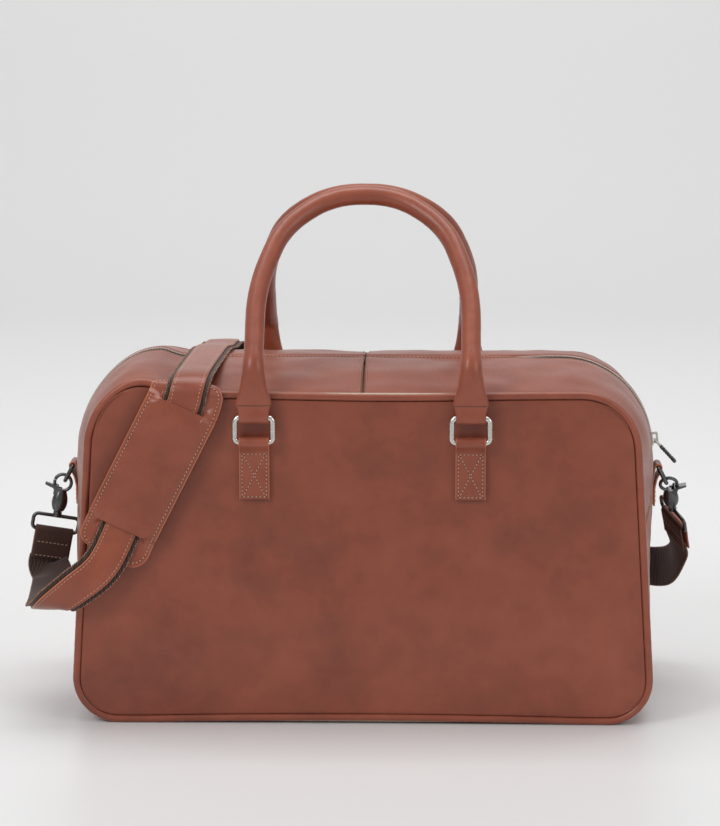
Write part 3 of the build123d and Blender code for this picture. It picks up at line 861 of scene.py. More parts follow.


# %% [markdown]
# ## Piping
# Leather wrapped round a cord and caught in the seam. It is a tube along the outline with a
# slight pucker.

# %% Piping
WELT = {"bottom": EDGE["bottom"] - 1 * MM, "top": EDGE["top"] - 1 * MM, "floor": False, "low": PIPING_R,
        "high": EDGE["high"] - 1 * MM, "r_bottom": EDGE["r_bottom"], "r_top": EDGE["r_top"]}


def welt_points(sign, count=420, start=0.5):
    result = []
    for k in range(count + 1):
        flat = outline_point(WELT, start + 8 * k / count)
        point = Vector((flat.x, sign * PIPING_Y, flat.y))
        result.append(point + settle(point))
    return result


for face, sign in (("front", -1), ("back", 1)):
    points = resampled(welt_points(sign), 3 * MM)
    line = stations_of(points, Vector((0, sign, 0)))

    def pucker(a, b):
        angle = 2 * math.pi * b
        radius = PIPING_R * (1 + 0.012 * math.sin(a * 900) + 0.02 * noise.noise(Vector((a * 60, b * 3, 1))))
        return radius * math.cos(angle), radius * math.sin(angle)
    bm = sweep(line, pucker, len(points) * 2, 16, caps=False)
    bmesh.ops.remove_doubles(bm, verts=bm.verts, dist=2e-5)
    bmesh.ops.recalc_face_normals(bm, faces=bm.faces)
    finish_mesh(f"piping_{face}_cover", bm, "bag", (f"piping_{face}",), TRIM_LEATHER)


# %% [markdown]
# ## Zip
# Two woven tapes, a chain of cast teeth and the stops. A tooth is a little block with a rounded
# top, and the two rows sit half a pitch apart, so they mesh. The teeth follow the same surface
# as the leather, just below it.

# %% Tapes and teeth
def zip_s_range():
    swell = [outline_point(MIDDLE, s).y for s in (2, 2.99999)]
    low = 2 + (ZIP_END_Z - swell[0]) / (swell[1] - swell[0])
    return low, 9 - low


ZIP_S = zip_s_range()
TAPE_DEPTH = -3.0 * MM
TEETH_DEPTH = -2.1 * MM
TEETH_RISE = 2.2 * MM       # more where the lips are open
TOOTH_PITCH = 2.5 * MM


def zip_place(share):
    length = mix(length_at(MIDDLE_LENGTHS, ZIP_S[0]), length_at(MIDDLE_LENGTHS, ZIP_S[1]), share)
    return s_at(MIDDLE_LENGTHS, length)


for face, sign in (("front", -1), ("back", 1)):
    bm = bent_grid(160, 8, lambda a, b: shell_point(zip_place(a), sign * mix(0.6 * MM, 15 * MM, b),
                                                    TAPE_DEPTH))
    face_away_from(bm, Vector((0, 0, 0.15)))
    tape = finish_mesh(f"zip_tape_{face}_cloth", bm, "bag", (f"zip_tape_{face}",), ZIP_CLOTH)
    thicken(tape, 0.7 * MM)

bm = bmesh.new()
zip_length = length_at(MIDDLE_LENGTHS, ZIP_S[1]) - length_at(MIDDLE_LENGTHS, ZIP_S[0])
tooth_count = int(zip_length / TOOTH_PITCH)
for k in range(tooth_count):
    for row in (-1, 1):
        share = (k + 0.5 + row * 0.25) / tooth_count
        s = zip_place(share)
        rise = TEETH_RISE * smooth(LIP_CLOSED, LIP_OPEN, lip_y(s)) * smooth(0.235, 0.245, shell_point(s, 0).z)
        root = shell_point(s, row * 1.1 * MM, TEETH_DEPTH + rise)
        along = (shell_point(s + 0.002, row * 1.1 * MM) - shell_point(s - 0.002, row * 1.1 * MM)).normalized()
        top = Vector((0, 1, 0)).cross(along)
        turn = Matrix((along, Vector((0, 1, 0)), top)).transposed()
        size = Matrix.Diagonal((0.62 * MM, 1.9 * MM, 1.15 * MM))
        place = Matrix.Translation(root) @ (turn @ size).to_4x4()
        add_bead(bm, BEAD, place)
print("zip:", 2 * tooth_count, "teeth")
finish_mesh("zip_chain", bm, "bag", ("zip_teeth",), ZIP_METAL)


# %% [markdown]
# ## Pull
# The slider and its wire link keep their models. The pull hanging from the link is a braid of
# three metal strands between an eye and an end cap. Each strand swings to and fro across the
# width and in and out through the thickness, a third of a turn after the one before.

# %% Braided pull
SLIDER_ANGLE = math.radians(6)
ARC_CENTRE = Vector((182 * MM, 0, 235 * MM))
PULL_PIVOT = (3.1 * MM, -2.0 * MM)
PULL_LEAN = math.radians(37)
PULL_END = 29 * MM
PULL_HALF = 4.6 * MM


def pull_frame():
    """The link's pivot, and the directions out of the bag and up the pull."""
    out = Vector((math.cos(SLIDER_ANGLE), 0, math.sin(SLIDER_ANGLE)))
    along = Vector((-out.z, 0, out.x))
    pivot = ARC_CENTRE + out * (MIDDLE["r_top"] + PULL_PIVOT[0]) + along * PULL_PIVOT[1]
    turn = Matrix.Rotation(-PULL_LEAN, 3, "Y")
    return pivot, turn @ out, turn @ along


def join_to(bm, part):
    """Adds a part to a bmesh and frees the part."""
    mesh = bpy.data.meshes.new("part")
    part.to_mesh(mesh)
    part.free()
    bm.from_mesh(mesh)
    bpy.data.meshes.remove(mesh)


def pull_bmesh():
    pivot, out, up = pull_frame()
    side = Vector((0, 1, 0))
    bm = bmesh.new()
    first, last, turns = 9.5 * MM, PULL_END - 3 * MM, 2.0
    for strand in range(3):
        points = []
        for k in range(61):
            share = k / 60
            phase = 2 * math.pi * (share * turns + strand / 3)
            points.append(pivot - up * mix(first, last, share) + side * 2.7 * MM * math.sin(phase)
                          + out * 0.8 * MM * math.sin(2 * phase))
        join_to(bm, sweep(stations_of(points, out), round_section(1.05 * MM), 60, 8))
    turn = Matrix((side, out, up)).transposed().to_4x4()
    blocks = ((PULL_END - 1.8 * MM, 1.8 * MM, PULL_HALF), (9.6 * MM, 1.5 * MM, 4.2 * MM))
    for drop, half_high, half_wide in blocks:
        size = Matrix.Diagonal((2 * half_wide, 3.2 * MM, 2 * half_high, 1))
        place = Matrix.Translation(pivot - up * drop) @ turn @ size
        block = bmesh.ops.create_cube(bm, size=1.0, matrix=place)
        edges = {edge for vert in block["verts"] for edge in vert.link_edges}
        bmesh.ops.bevel(bm, geom=list(edges), offset=0.8 * MM, segments=3, profile=0.5,
                        affect="EDGES", material=-1)
    eye = [pivot - up * 7.2 * MM + (side * math.cos(a) + up * math.sin(a)) * 1.9 * MM
           for a in (2 * math.pi * k / 20 for k in range(21))]
    join_to(bm, sweep(stations_of(eye, out), round_section(0.8 * MM), 20, 8, caps=False))
    bmesh.ops.recalc_face_normals(bm, faces=bm.faces)
    return bm


finish_mesh("zip_pull_braid", pull_bmesh(), "zip_pull", ("zip_pull",), GUNMETAL)


# %% [markdown]
# ## Chapes and tabs
# A chape is a strip of leather folded over the ring's lower bar, with both its layers sewn flat
# to the panel in a box with a cross. The fold is a bend of the strip's path, so one sweep makes
# front, fold and back. The tabs that hold the D-rings on the ends are made the same way.

# %% Folded strips
LEG_X = 97 * MM
BAR_Y = 133 * MM
BAR_LOW_Z = 262 * MM
BAR_HIGH_Z = 284 * MM
CHAPE_WIDTH = 27 * MM
CHAPE_BOTTOM_Z = 209 * MM
CHAPE_LEATHER = 2.1 * MM
PANEL_SKIN_Y = PANEL_Y + 0.3 * MM


def fold_over(outer, inner, centre, radius, steps=14):
    """2-D line up the outer points, over a bar and down the inner points."""
    start = math.atan2(outer[-1].y - centre.y, outer[-1].x - centre.x)
    first = start + math.acos(min(1, radius / (outer[-1] - centre).length))
    end = math.atan2(inner[0].y - centre.y, inner[0].x - centre.x) % (2 * math.pi)
    last = end - math.acos(min(1, radius / (inner[0] - centre).length))
    arc = [centre + Vector((math.cos(a), math.sin(a))) * radius
           for a in (mix(first, last, k / steps) for k in range(steps + 1))]
    return outer + arc + inner


def chape_line(depth, x):
    outer_y, inner_y = PANEL_SKIN_Y + 3.2 * MM, PANEL_SKIN_Y + 1.1 * MM
    outer = [Vector((outer_y, CHAPE_BOTTOM_Z)), Vector((outer_y + 0.2 * MM, 240 * MM)),
             Vector((outer_y + 0.8 * MM, 251 * MM)), Vector((outer_y + 3.4 * MM, 254.5 * MM))]
    inner = [Vector((inner_y + 0.9 * MM, 252 * MM)), Vector((inner_y, 246 * MM)), Vector((inner_y, 210 * MM))]
    line = fold_over(outer, inner, Vector((BAR_Y, BAR_LOW_Z)), 3.85 * MM)
    return [Vector((x, depth * y, z)) for y, z in line]


def box_cross(depth, x):
    """Four sides and two diagonals on the chape's face, as rows of points."""
    y = PANEL_SKIN_Y + 3.2 * MM + CHAPE_LEATHER / 2
    half, low, high = CHAPE_WIDTH / 2 - 2.6 * MM, CHAPE_BOTTOM_Z + 2.4 * MM, 250.5 * MM

    def at(u, z):
        bulge = 0.2 * MM * smooth(CHAPE_BOTTOM_Z, 240 * MM, z) + 0.6 * MM * smooth(240 * MM, 251 * MM, z)
        return Vector((x + u, depth * (y + bulge), z))
    corners = [(-half, low), (half, low), (half, high), (-half, high)]
    sides = list(zip(corners, corners[1:] + corners[:1]))
    inset = 1.6 * MM
    sides += [((-half + inset, low + inset), (half - inset, high - inset)),
              ((half - inset, low + inset), (-half + inset, high - inset))]
    rows = []
    for (u0, z0), (u1, z1) in sides:
        points = [at(mix(u0, u1, k / 8), mix(z0, z1, k / 8)) for k in range(9)]
        rows.append((points, [Vector((0, depth, 0))] * 9))
    return rows


chape_rows = []
for face, depth in (("front", -1), ("back", 1)):
    for side, sign in (("left", -1), ("right", 1)):
        x = sign * LEG_X
        line = resampled(chape_line(depth, x), 1.5 * MM)
        stations = stations_of(line, Vector((0, depth, 0.0)))
        bm = sweep(stations, strip_section(CHAPE_WIDTH, CHAPE_LEATHER, 0.7 * MM), len(line), 32,
                   raw_from=CHAPE_WIDTH / 2 - 0.5 * MM)
        finish_mesh(f"chape_{face}_{side}_strip", bm, "bag",
                    (f"chape_{face}_{side}",), TRIM_LEATHER)
        chape_rows += box_cross(depth, x)
stitched("chape_stitches", chape_rows, "bag", "bag_leather", PALE_THREAD, pitch=3.3 * MM, length=2.5 * MM)

# %% Tabs on the end faces
TAB_BAR = (273.2 * MM, 217 * MM)
TAB_WIDTH = 24 * MM
for side, sign in (("left", -1), ("right", 1)):
    outer = [Vector(p) * MM for p in ((269.7, 181), (269.9, 198), (271.9, 207))]
    inner = [Vector(p) * MM for p in ((268.6, 210), (267.9, 202), (267.9, 184))]
    line = fold_over(outer, inner, Vector(TAB_BAR), 3.2 * MM)
    line = resampled([Vector((sign * x, 0, z)) for x, z in line], 1.3 * MM)
    bm = sweep(stations_of(line, Vector((sign, 0, 0))),
               strip_section(TAB_WIDTH, 1.7 * MM, 0.6 * MM), len(line), 28,
               raw_from=TAB_WIDTH / 2 - 0.5 * MM)
    finish_mesh(f"tab_{side}_strip", bm, "bag", (f"tab_{side}",), TRIM_LEATHER)
    low, high, half = 184 * MM, 200 * MM, TAB_WIDTH / 2 - 2.5 * MM
    face_x = sign * (269.8 * MM + 0.85 * MM)
    corners = [(-half, high), (-half, low), (half, low), (half, high), (-half, high)]
    rows = []
    for (y0, z0), (y1, z1) in zip(corners, corners[1:]):
        points = [Vector((face_x, mix(y0, y1, k / 4), mix(z0, z1, k / 4))) for k in range(5)]
        rows.append((points, [Vector((sign, 0, 0))] * 5))
    stitched(f"tab_{side}_stitches", rows, "bag", "bag_leather", PALE_THREAD, pitch=3.3 * MM, length=2.5 * MM)


# %% [markdown]
# ## Handles
# One piece of leather is rolled round a cord core. At each end it flattens and widens, shows a
# row of stitches where the two layers are caught together, and folds round the ring's upper
# bar. So the section changes along the sweep: a circle over the arch, a flat rounded slab at
# the ends, and a half round where it closes under the bar.

# %% The line of a handle
HANDLE_LEAN = math.radians(41.3)
HANDLE_BEND_Z = 332 * MM
HANDLE_R = 8.8 * MM
FOLD_R = 5.25 * MM
HANDLE_FOOT_Z = BAR_HIGH_Z - FOLD_R


def handle_points(depth):
    def leaned(x, length):
        inward = -depth * length * math.sin(HANDLE_LEAN)
        return Vector((x, depth * BAR_Y + inward, HANDLE_BEND_Z + length * math.cos(HANDLE_LEAN)))
    half = [leaned(30 * MM, 185 * MM), leaned(75 * MM, 149 * MM), leaned(LEG_X, 82 * MM), leaned(LEG_X, 0)]
    right = half + [Vector((LEG_X, depth * BAR_Y, HANDLE_FOOT_Z))]
    corners = [Vector((-p.x, p.y, p.z)) for p in reversed(right)] + right
    radii = []
    for before, corner, after in zip(corners, corners[1:], corners[2:]):
        into, out = corner - before, after - corner
        radii.append(0.45 * min(into.length, out.length) / math.tan(into.angle(out) / 2))
    radii[0] = radii[-1] = 0.45 * 14 * MM / math.tan(HANDLE_LEAN / 2)
    return resampled(rounded_path(corners, radii), 2 * MM)


# height over the foot, half width, half depth, squareness
FOOT_SECTIONS = [(0.0, 13.3, 0.6, 5.0), (0.6, 13.4, 2.4, 4.5), (2.0, 13.5, 4.1, 4.2), (5.25, 13.5, 5.2, 4.0),
                 (9.0, 13.5, 5.0, 4.0), (13.5, 14.6, 4.7, 4.0), (17.5, 16.0, 5.1, 3.8), (20.5, 15.8, 5.9, 3.4),
                 (26.0, 14.0, 7.2, 2.8), (35.0, 11.8, 8.6, 2.3), (48.0, 9.9, 9.2, 2.1), (66.0, 8.9, 8.9, 2.0)]


def foot_section(height):
    rows = FOOT_SECTIONS
    if height >= rows[-1][0] * MM:
        return HANDLE_R, HANDLE_R, 2.0
    for low, high in zip(rows, rows[1:]):
        if height <= high[0] * MM:
            part = (height / MM - low[0]) / (high[0] - low[0])
            wide, deep, square = (mix(a, b, part) for a, b in zip(low[1:], high[1:]))
            return wide * MM, deep * MM, square
    return HANDLE_R, HANDLE_R, 2.0


def seam_ridge(angle, height):
    """The closing seam on the handle's inner side: two turned edges with a groove between."""
    off = (angle - 1.5 * math.pi + math.pi) % (2 * math.pi) - math.pi
    arc = off * HANDLE_R
    strength = smooth(26 * MM, 50 * MM, height)
    ridge = 0.9 * math.exp(-(arc / (2.3 * MM)) ** 2)
    cut = 1.0 * math.exp(-(arc / (0.6 * MM)) ** 2)
    return strength * MM * (ridge - cut)


def handle_surface(stations, total, a, b, out=0.0):
    point, across, top = station_between(stations, a)
    height = min(a, 1 - a) * total
    wide, deep, square = foot_section(height)
    angle = 2 * math.pi * b
    c, s = math.cos(angle), math.sin(angle)
    power = 2 / square
    u = math.copysign(abs(c) ** power, c) * (wide + out)
    v = math.copysign(abs(s) ** power, s) * (deep + out)
    ridge = seam_ridge(angle, height)
    pull = 0.12 * MM * noise.noise(Vector((a * 90, math.cos(angle) * 1.5, math.sin(angle) * 1.5)))
    return point + across * (u + c * (ridge + pull)) + top * (v + s * (ridge + pull))


def end_row(stations, total, from_left, front, depth):
    """The row that catches the two layers, just above the ring."""
    points, tops = [], []
    for k in range(13):
        share = 17.2 * MM / total
        a = share if from_left else 1 - share
        angle = mix(math.radians(152), math.radians(28), k / 12)
        b = (angle if front else 2 * math.pi - angle) / (2 * math.pi)
        points.append(handle_surface(stations, total, a, b))
        tops.append(Vector((0, depth if front else -depth, 0)))
    return points, tops


for face, depth in (("front", -1), ("back", 1)):
    points = handle_points(depth)
    stations = stations_of(points, Vector((0, depth, 0)))
    total = sum((q - p).length for p, q in zip(points, points[1:]))
    bm = bent_grid(300, 72, lambda a, b: handle_surface(stations, total, a, b), roll=True, caps=True)
    ends = (f"handle_{face}_end_left", f"handle_{face}_end_right")
    finish_mesh(f"handle_{face}_cover", bm, f"handle_{face}", (f"handle_{face}_grip", *ends),
                TRIM_LEATHER)
    rows = [end_row(stations, total, left, front, depth) for left in (True, False) for front in (True, False)]
    for off in (-1, 1):
        b = 0.75 + off * 2.3 * MM / (2 * math.pi * HANDLE_R)
        shares = [mix(50 * MM / total, 1 - 50 * MM / total, k / 200) for k in range(201)]
        seam = [handle_surface(stations, total, a, b) for a in shares]
        tops = [-station_between(stations, a)[2] for a in shares]
        rows.append((seam, tops))
    stitched(f"handle_{face}_stitches", rows, f"handle_{face}", "bag_leather", BROWN_THREAD)
    print(face, "handle's leather is", round(total * 1000), "mm long")


# %% [markdown]
# ## The shoulder strap's line
# The strap is one long band. Each stop gives a point on its middle, in millimetres, and the way
# its leather side faces. A Catmull-Rom curve passes through every stop, and the band turns as
# the facing does. Behind the bag the strap hangs in a slack swoop.

# %% Route of the strap
HOOK = {
    "left": {"centre": Vector((-284.034, 0, 198.698)), "up": Vector((0.18996, 0, 0.981792)), "sign": -1,
             "swivel": 12},
    "right": {"centre": Vector((283.869, 1.30642, 199.512)), "up": Vector((-0.15996, -0.549863, 0.819795)),
              "sign": 1, "swivel": -62},
}
LOOP_LOW = 47.0
PAD_MIDDLE = (-189, 238)
PAD_RISE = (0.451, 0.893)


def loop_frame(side):
    """Directions across, through and up the swivel loop of one hook."""
    hook = HOOK[side]
    across = Vector((-hook["sign"], 0, 0))
    across = (across - hook["up"] * across.dot(hook["up"])).normalized()
    turn = Matrix.Rotation(math.radians(hook["swivel"]), 3, hook["up"])
    across = turn @ across
    return across, hook["up"].cross(across), hook["up"]


def below_loop(side, drop):
    _, through, up = loop_frame(side)
    point = HOOK[side]["centre"] - up * (LOOP_LOW + drop)
    facing = Vector((0, 1, 0)) if side == "left" else Vector((1, 0, 0))
    return point, through if through.dot(facing) > 0 else -through


def on_front(distance, y):
    return PAD_MIDDLE[0] + PAD_RISE[0] * distance, y, PAD_MIDDLE[1] + PAD_RISE[1] * distance


ROUTE = [
    below_loop("left", 25.5), below_loop("left", 33),
    ((-293, -17, 113), (0, 0.9, -0.5)), ((-292, -42, 105), (0, 0.3, -0.95)), ((-290, -76, 103.5), (0, 0, -1)),
    ((-288, -110, 105), (0, -0.3, -0.95)), ((-279, -138, 114), (0.1, -0.8, -0.6)),
    ((-259, -146, 129), (0.1, -1, -0.15)), (on_front(-98, -139), (0.05, -1, 0)),
    (on_front(-55, -131.5), (0, -1, 0)), (on_front(0, -130.8), (0, -1, 0)), (on_front(45, -130.8), (0, -1, 0)),
    ((-160, -131.2, 296), (0, -1, 0.1)), ((-156, -129, 311), (0, -0.8, 0.6)),
    ((-153, -114, 319.5), (0, -0.25, 0.95)), ((-151, -80, 321.5), (0, -0.1, 1)), ((-148, -30, 322.8), (0, 0, 1)),
    ((-145, 30, 322.8), (0, 0, 1)), ((-142, 80, 317), (0, 0.1, 1)), ((-140, 113, 316), (0, 0.25, 0.97)),
    ((-139, 128.5, 311.5), (0, 0.75, 0.65)), ((-138, 133, 293), (0, 1, 0.1)), ((-136, 131.5, 255), (0, 1, 0)),
    ((-128, 138, 205), (0, 0.95, -0.2)), ((-95, 149, 160), (-0.1, 0.85, -0.45)),
    ((-30, 155, 125), (0, 0.8, -0.6)), ((60, 153, 103), (0, 0.85, -0.5)), ((150, 143, 96), (0.05, 0.95, -0.3)),
    ((228, 135, 94), (0.2, 0.97, -0.1)), ((265, 129, 94), (0.7, 0.7, 0)), ((281, 108, 97), (0.95, 0.3, 0)),
    ((291, 83, 104), (1, 0.2, 0)), ((296, 62, 116), (1, 0.15, 0.1)),
    below_loop("right", 33), below_loop("right", 25.5),
]
ROUTE = [(Vector(point) * MM, Vector(facing)) for point, facing in ROUTE]


def eased(stops, index, part):
    last = len(stops) - 1
    a, b, c, d = (stops[min(max(index + k, 0), last)] for k in (-1, 0, 1, 2))
    return (b * 2 + (c - a) * part + (a * 2 - b * 5 + c * 4 - d) * part ** 2
            + (b * 3 - a - c * 3 + d) * part ** 3) * 0.5


def strap_line(per_stop=14):
    """Even stations along the strap: point, across, leather side."""
    marks = [(i, k / per_stop) for i in range(len(ROUTE) - 1) for k in range(per_stop)]
    marks.append((len(ROUTE) - 2, 1.0))
    fine = [(eased([p for p, _ in ROUTE], *mark), eased([f for _, f in ROUTE], *mark)) for mark in marks]
    run = [0.0]
    for (p, _), (q, _) in zip(fine, fine[1:]):
        run.append(run[-1] + (q - p).length)
    count, low, even = round(run[-1] / (2 * MM)), 0, []
    for k in range(count + 1):
        mark = run[-1] * k / count
        while low < len(fine) - 2 and run[low + 1] < mark:
            low += 1
        part = (mark - run[low]) / (run[low + 1] - run[low])
        even.append(tuple(mix(a, b, part) for a, b in zip(fine[low], fine[low + 1])))
    result = []
    for k, (point, facing) in enumerate(even):
        tangent = (even[min(k + 1, count)][0] - even[max(k - 1, 0)][0]).normalized()
        top = (facing - tangent * facing.dot(tangent)).normalized()
        result.append((point, tangent.cross(top), top))
    return result, run[-1]


STRAP, STRAP_LENGTH = strap_line()
print("strap between its end wraps:", round(STRAP_LENGTH * 1000), "mm")

# %% [markdown]
# ## Strap
# Below is a heavy dark webbing with looped edges, and on it a narrower strip of leather sewn
# along both sides. The leather is fuller in its middle and drawn down at the rows. The loops
# along the webbing's edges are real little bobbles, two rows of them.

# %% Webbing and leather strip
STRAP_WIDTH = 38 * MM
STRIP_WIDTH = 29 * MM
LAYER = 1.9 * MM
WEB_OFFSET = -1.05 * MM
STRIP_OFFSET = 1.05 * MM


def crowned_section(width, thickness, corner, crown):
    flat = strip_section(width, thickness, corner)

    def section(a, b):
        u, v = flat(a, b)
        if v > 0:
            from_row = abs(u) - width / 2 + 2.8 * MM
            v += crown * (1 - (2 * u / width) ** 2) - 0.35 * MM * math.exp(-(from_row / MM) ** 2)
        return u, v
    return section


bm = sweep(STRAP, strip_section(STRAP_WIDTH - 1 * MM, 1.7 * MM, 0.6 * MM), 640, 28, lift=WEB_OFFSET)
finish_mesh("strap_webbing_band", bm, "bag", ("strap_webbing",), WEBBING)
bm = sweep(STRAP, crowned_section(STRIP_WIDTH, LAYER, 0.8 * MM, 0.7 * MM), 640, 48, lift=STRIP_OFFSET,
           raw_from=STRIP_WIDTH / 2 - 0.4 * MM)
finish_mesh("strap_leather_strip", bm, "bag", ("strap_leather",), TRIM_LEATHER)


def strap_row(offset, lift, share_low=0.0, share_high=1.0, count=700):
    points, tops = [], []
    for k in range(count + 1):
        point, across, top = station_between(STRAP, mix(share_low, share_high, k / count))
        points.append(point + across * offset + top * lift)
        tops.append(top)
    return points, tops


rows = [strap_row(side * 11.7 * MM, STRIP_OFFSET + 0.9 * MM) for side in (-1, 1)]
stitched("strap_stitches", rows, "bag", "strap_leather", PALE_THREAD)
bm = bmesh.new()
for side in (-1, 1):
    add_row(bm, *strap_row(side * 18.4 * MM, WEB_OFFSET), pitch=2.1 * MM, length=1.9 * MM, radius=0.95 * MM,
            holes=False)
SELVEDGE = cloth("webbing_edge_loops", (0.10, 0.04, 0.022), (0.40, 0.20, 0.12), 2600)
finish_mesh("strap_webbing_edges", bm, "bag", material=SELVEDGE)

# %% [markdown]
# ## Strap ends
# At each end a short leather piece folds round the swivel loop's lower bar and closes over the
# end of the strap, with two rows of stitches across. Its inner layer is a much darker copy of
# the same leather, which is painted shade.

# %% Wraps
# Painted shade: the leather recipe made several times darker, for the wraps' inner layers.
WRAP_SHADE_LEATHER = leather("wrap_painted_shade_leather", (0.030, 0.011, 0.007), (0.050, 0.019, 0.012), (0.085, 0.033, 0.021),
                    gloss=(0.5, 0.7))
for side in ("left", "right"):
    across, through, up = loop_frame(side)
    _, facing = below_loop(side, 25.5)
    if through.dot(facing) < 0:
        through, across = -through, -across
    bar = (HOOK[side]["centre"] - up * LOOP_LOW) * MM
    # The inner layer takes the darker leather, which is painted shade.
    for layer, sign, material in (("outer", 1, TRIM_LEATHER), ("inner", -1, WRAP_SHADE_LEATHER)):
        flat = [Vector((sign * 2.75, -27)), Vector((sign * 2.75, -14)), Vector((sign * 3.0, -7))]
        angles = [mix(-0.25, math.pi / 2, k / 10) for k in range(11)]
        arc = [Vector((math.cos(a) * sign, math.sin(a))) * 3.1 for a in angles]
        line = [bar + through * p.x * MM + up * p.y * MM for p in flat + arc]
        line = resampled(line, 1.2 * MM)
        stations = stations_of(line, through * sign)
        bm = sweep(stations, strip_section(35.5 * MM, 1.7 * MM, 0.6 * MM), len(line), 28)
        piece = finish_mesh(f"strap_wrap_{side}_{layer}", bm, "bag",
                            (f"strap_wrap_{side}",), material)
    rows = []
    for sign in (1, -1):
        for drop in (11.5, 24.5):
            lift = sign * (2.75 + 0.85 + 0.1)
            middle = bar + through * lift * MM - up * drop * MM
            points = [middle + across * mix(-15, 15, k / 10) * MM for k in range(11)]
            rows.append((points, [through * sign] * 11))
    stitched(f"strap_wrap_{side}_stitches", rows, "bag", "strap_leather", PALE_THREAD)


# %% [markdown]
# ## Shoulder pad
# A padded leather slip with two slits. The strap comes up through one and goes down through the
# other, so the pad's middle lies over the strap and its ends under it. A grid is cut open along
# the two slits, and the two sides of each cut are given their own heights.

# %% Pad
PAD_HALF = 90 * MM
PAD_WIDTH = 66 * MM
PAD_THICK = 3.0 * MM
PAD_CORNER = 15 * MM
SLIT_AT = 62 * MM
SLIT_HALF = 20.5 * MM
PAD_LIFT = 4.2 * MM
PAD_COLUMNS, PAD_ROWS = 144, 52
pad_centre = Vector(on_front(0, -130.8)) * MM
pad_index = min(range(len(STRAP)), key=lambda k: (STRAP[k][0] - pad_centre).length)
PAD_SHARE = pad_index / (len(STRAP) - 1)


def pad_half_width(run):
    """Half width of the pad near its rounded ends."""
    from_end = PAD_HALF - abs(run)
    if from_end >= PAD_CORNER:
        return PAD_WIDTH / 2
    return PAD_WIDTH / 2 - PAD_CORNER + math.sqrt(max(PAD_CORNER ** 2 - (PAD_CORNER - from_end) ** 2, 0))


def pad_place(run, w, inside):
    """Point of the pad at a run along the strap and a place across it."""
    point, across, top = station_between(STRAP, PAD_SHARE + run / STRAP_LENGTH)
    ease = mix(1.5 * MM, 12 * MM, smooth(SLIT_HALF - 2 * MM, SLIT_HALF + 9 * MM, abs(w)))
    if abs(w) < SLIT_HALF + 0.1 * MM:
        side = 1.0 if inside else -1.0
        near = smooth(0, 14 * MM, abs(abs(run) - SLIT_AT))
        level = side * mix(0.72, 1.0, near)
    else:
        level = 1 - 2 * smooth(-ease, ease, abs(run) - SLIT_AT)
    droop = -1.2 * MM * smooth(21 * MM, 33 * MM, abs(w)) * (1 if inside else 0)
    ripple = 0.5 * MM * noise.noise(Vector((run / 0.03, w / 0.03, 4.2)))
    return point + across * w + top * (PAD_LIFT * level + droop + ripple * 0.5)


def pad_bmesh():
    bm = bmesh.new()
    layer = bm.verts.layers.float.new("raw_edge")
    bmesh.ops.create_grid(bm, x_segments=PAD_COLUMNS, y_segments=PAD_ROWS, size=1.0)
    step = 2 / PAD_COLUMNS
    for vert in bm.verts:
        run = vert.co.x * PAD_HALF
        nearest = math.copysign(SLIT_AT, run)
        if abs(run - nearest) < step * PAD_HALF * 0.5:
            run = nearest
        vert.co = Vector((run, vert.co.y, 0))
    slit = [edge for edge in bm.edges
            if all(abs(abs(v.co.x) - SLIT_AT) < 1e-6 and abs(v.co.y) * PAD_WIDTH / 2 < SLIT_HALF
                   for v in edge.verts)]
    bmesh.ops.split_edges(bm, edges=slit)
    places = {}
    for vert in bm.verts:
        run, w = vert.co.x, vert.co.y * pad_half_width(vert.co.x)
        middle = sum(abs(face.calc_center_median().x) for face in vert.link_faces) / len(vert.link_faces)
        places[vert] = pad_place(run, w, middle < SLIT_AT)
    for vert, place in places.items():
        vert[layer] = float(vert.is_boundary and abs(abs(vert.co.x) - SLIT_AT) > 1e-6)
        vert.co = place
    face_away_from(bm, Vector((-0.19, 0.5, 0.2)))
    return bm


pad = finish_mesh("shoulder_pad_leather", pad_bmesh(), "bag",
                  ("shoulder_pad",), TRIM_LEATHER)
wall = pad.modifiers.new("thickness", "SOLIDIFY")
wall.thickness = PAD_THICK
wall.offset = 0.0
rim = pad.modifiers.new("rim", "BEVEL")
rim.width = 0.7 * MM
rim.segments = 3
rim.limit_method = "ANGLE"


def pad_rim_row():
    """Stitches all round, a few millimetres inside the rim."""
    inset, points, tops = 3.4 * MM, [], []
    outline = []
    reach, half, corner = PAD_HALF - inset, PAD_WIDTH / 2 - inset, PAD_CORNER - inset
    for cx, cy, start in ((1, 1, 0), (-1, 1, 90), (-1, -1, 180), (1, -1, 270)):
        for k in range(9):
            angle = math.radians(start + 90 * k / 8)
            outline.append(Vector((cx * (reach - corner) + corner * math.cos(angle),
                                   cy * (half - corner) + corner * math.sin(angle))))
    outline.append(outline[0].copy())
    for run, w in resampled(outline, 3 * MM):
        place = pad_place(run, w, abs(run) < SLIT_AT)
        top = station_between(STRAP, PAD_SHARE + run / STRAP_LENGTH)[2]
        points.append(place + top * PAD_THICK / 2)
        tops.append(top)
    return points, tops


stitched("shoulder_pad_stitches", [pad_rim_row()], "bag", "strap_leather", PALE_THREAD)

# %% [markdown]
# ## Stitching on the shell
# Rows run beside the zip lips, each side of the centre seam, and above the arched seams on the
# two ends. They lie on the same surface as the skins, so they follow every sag and wave.

# %% Rows on the gussets
def gusset_row(path, lift=0.1 * MM):
    points = [shell_point(s, y, gusset_lift(s, y) + lift) for s, y in path]
    tops = [(shell_point(s, y, 10 * MM) - shell_point(s, y)).normalized() for s, y in path]
    return points, tops


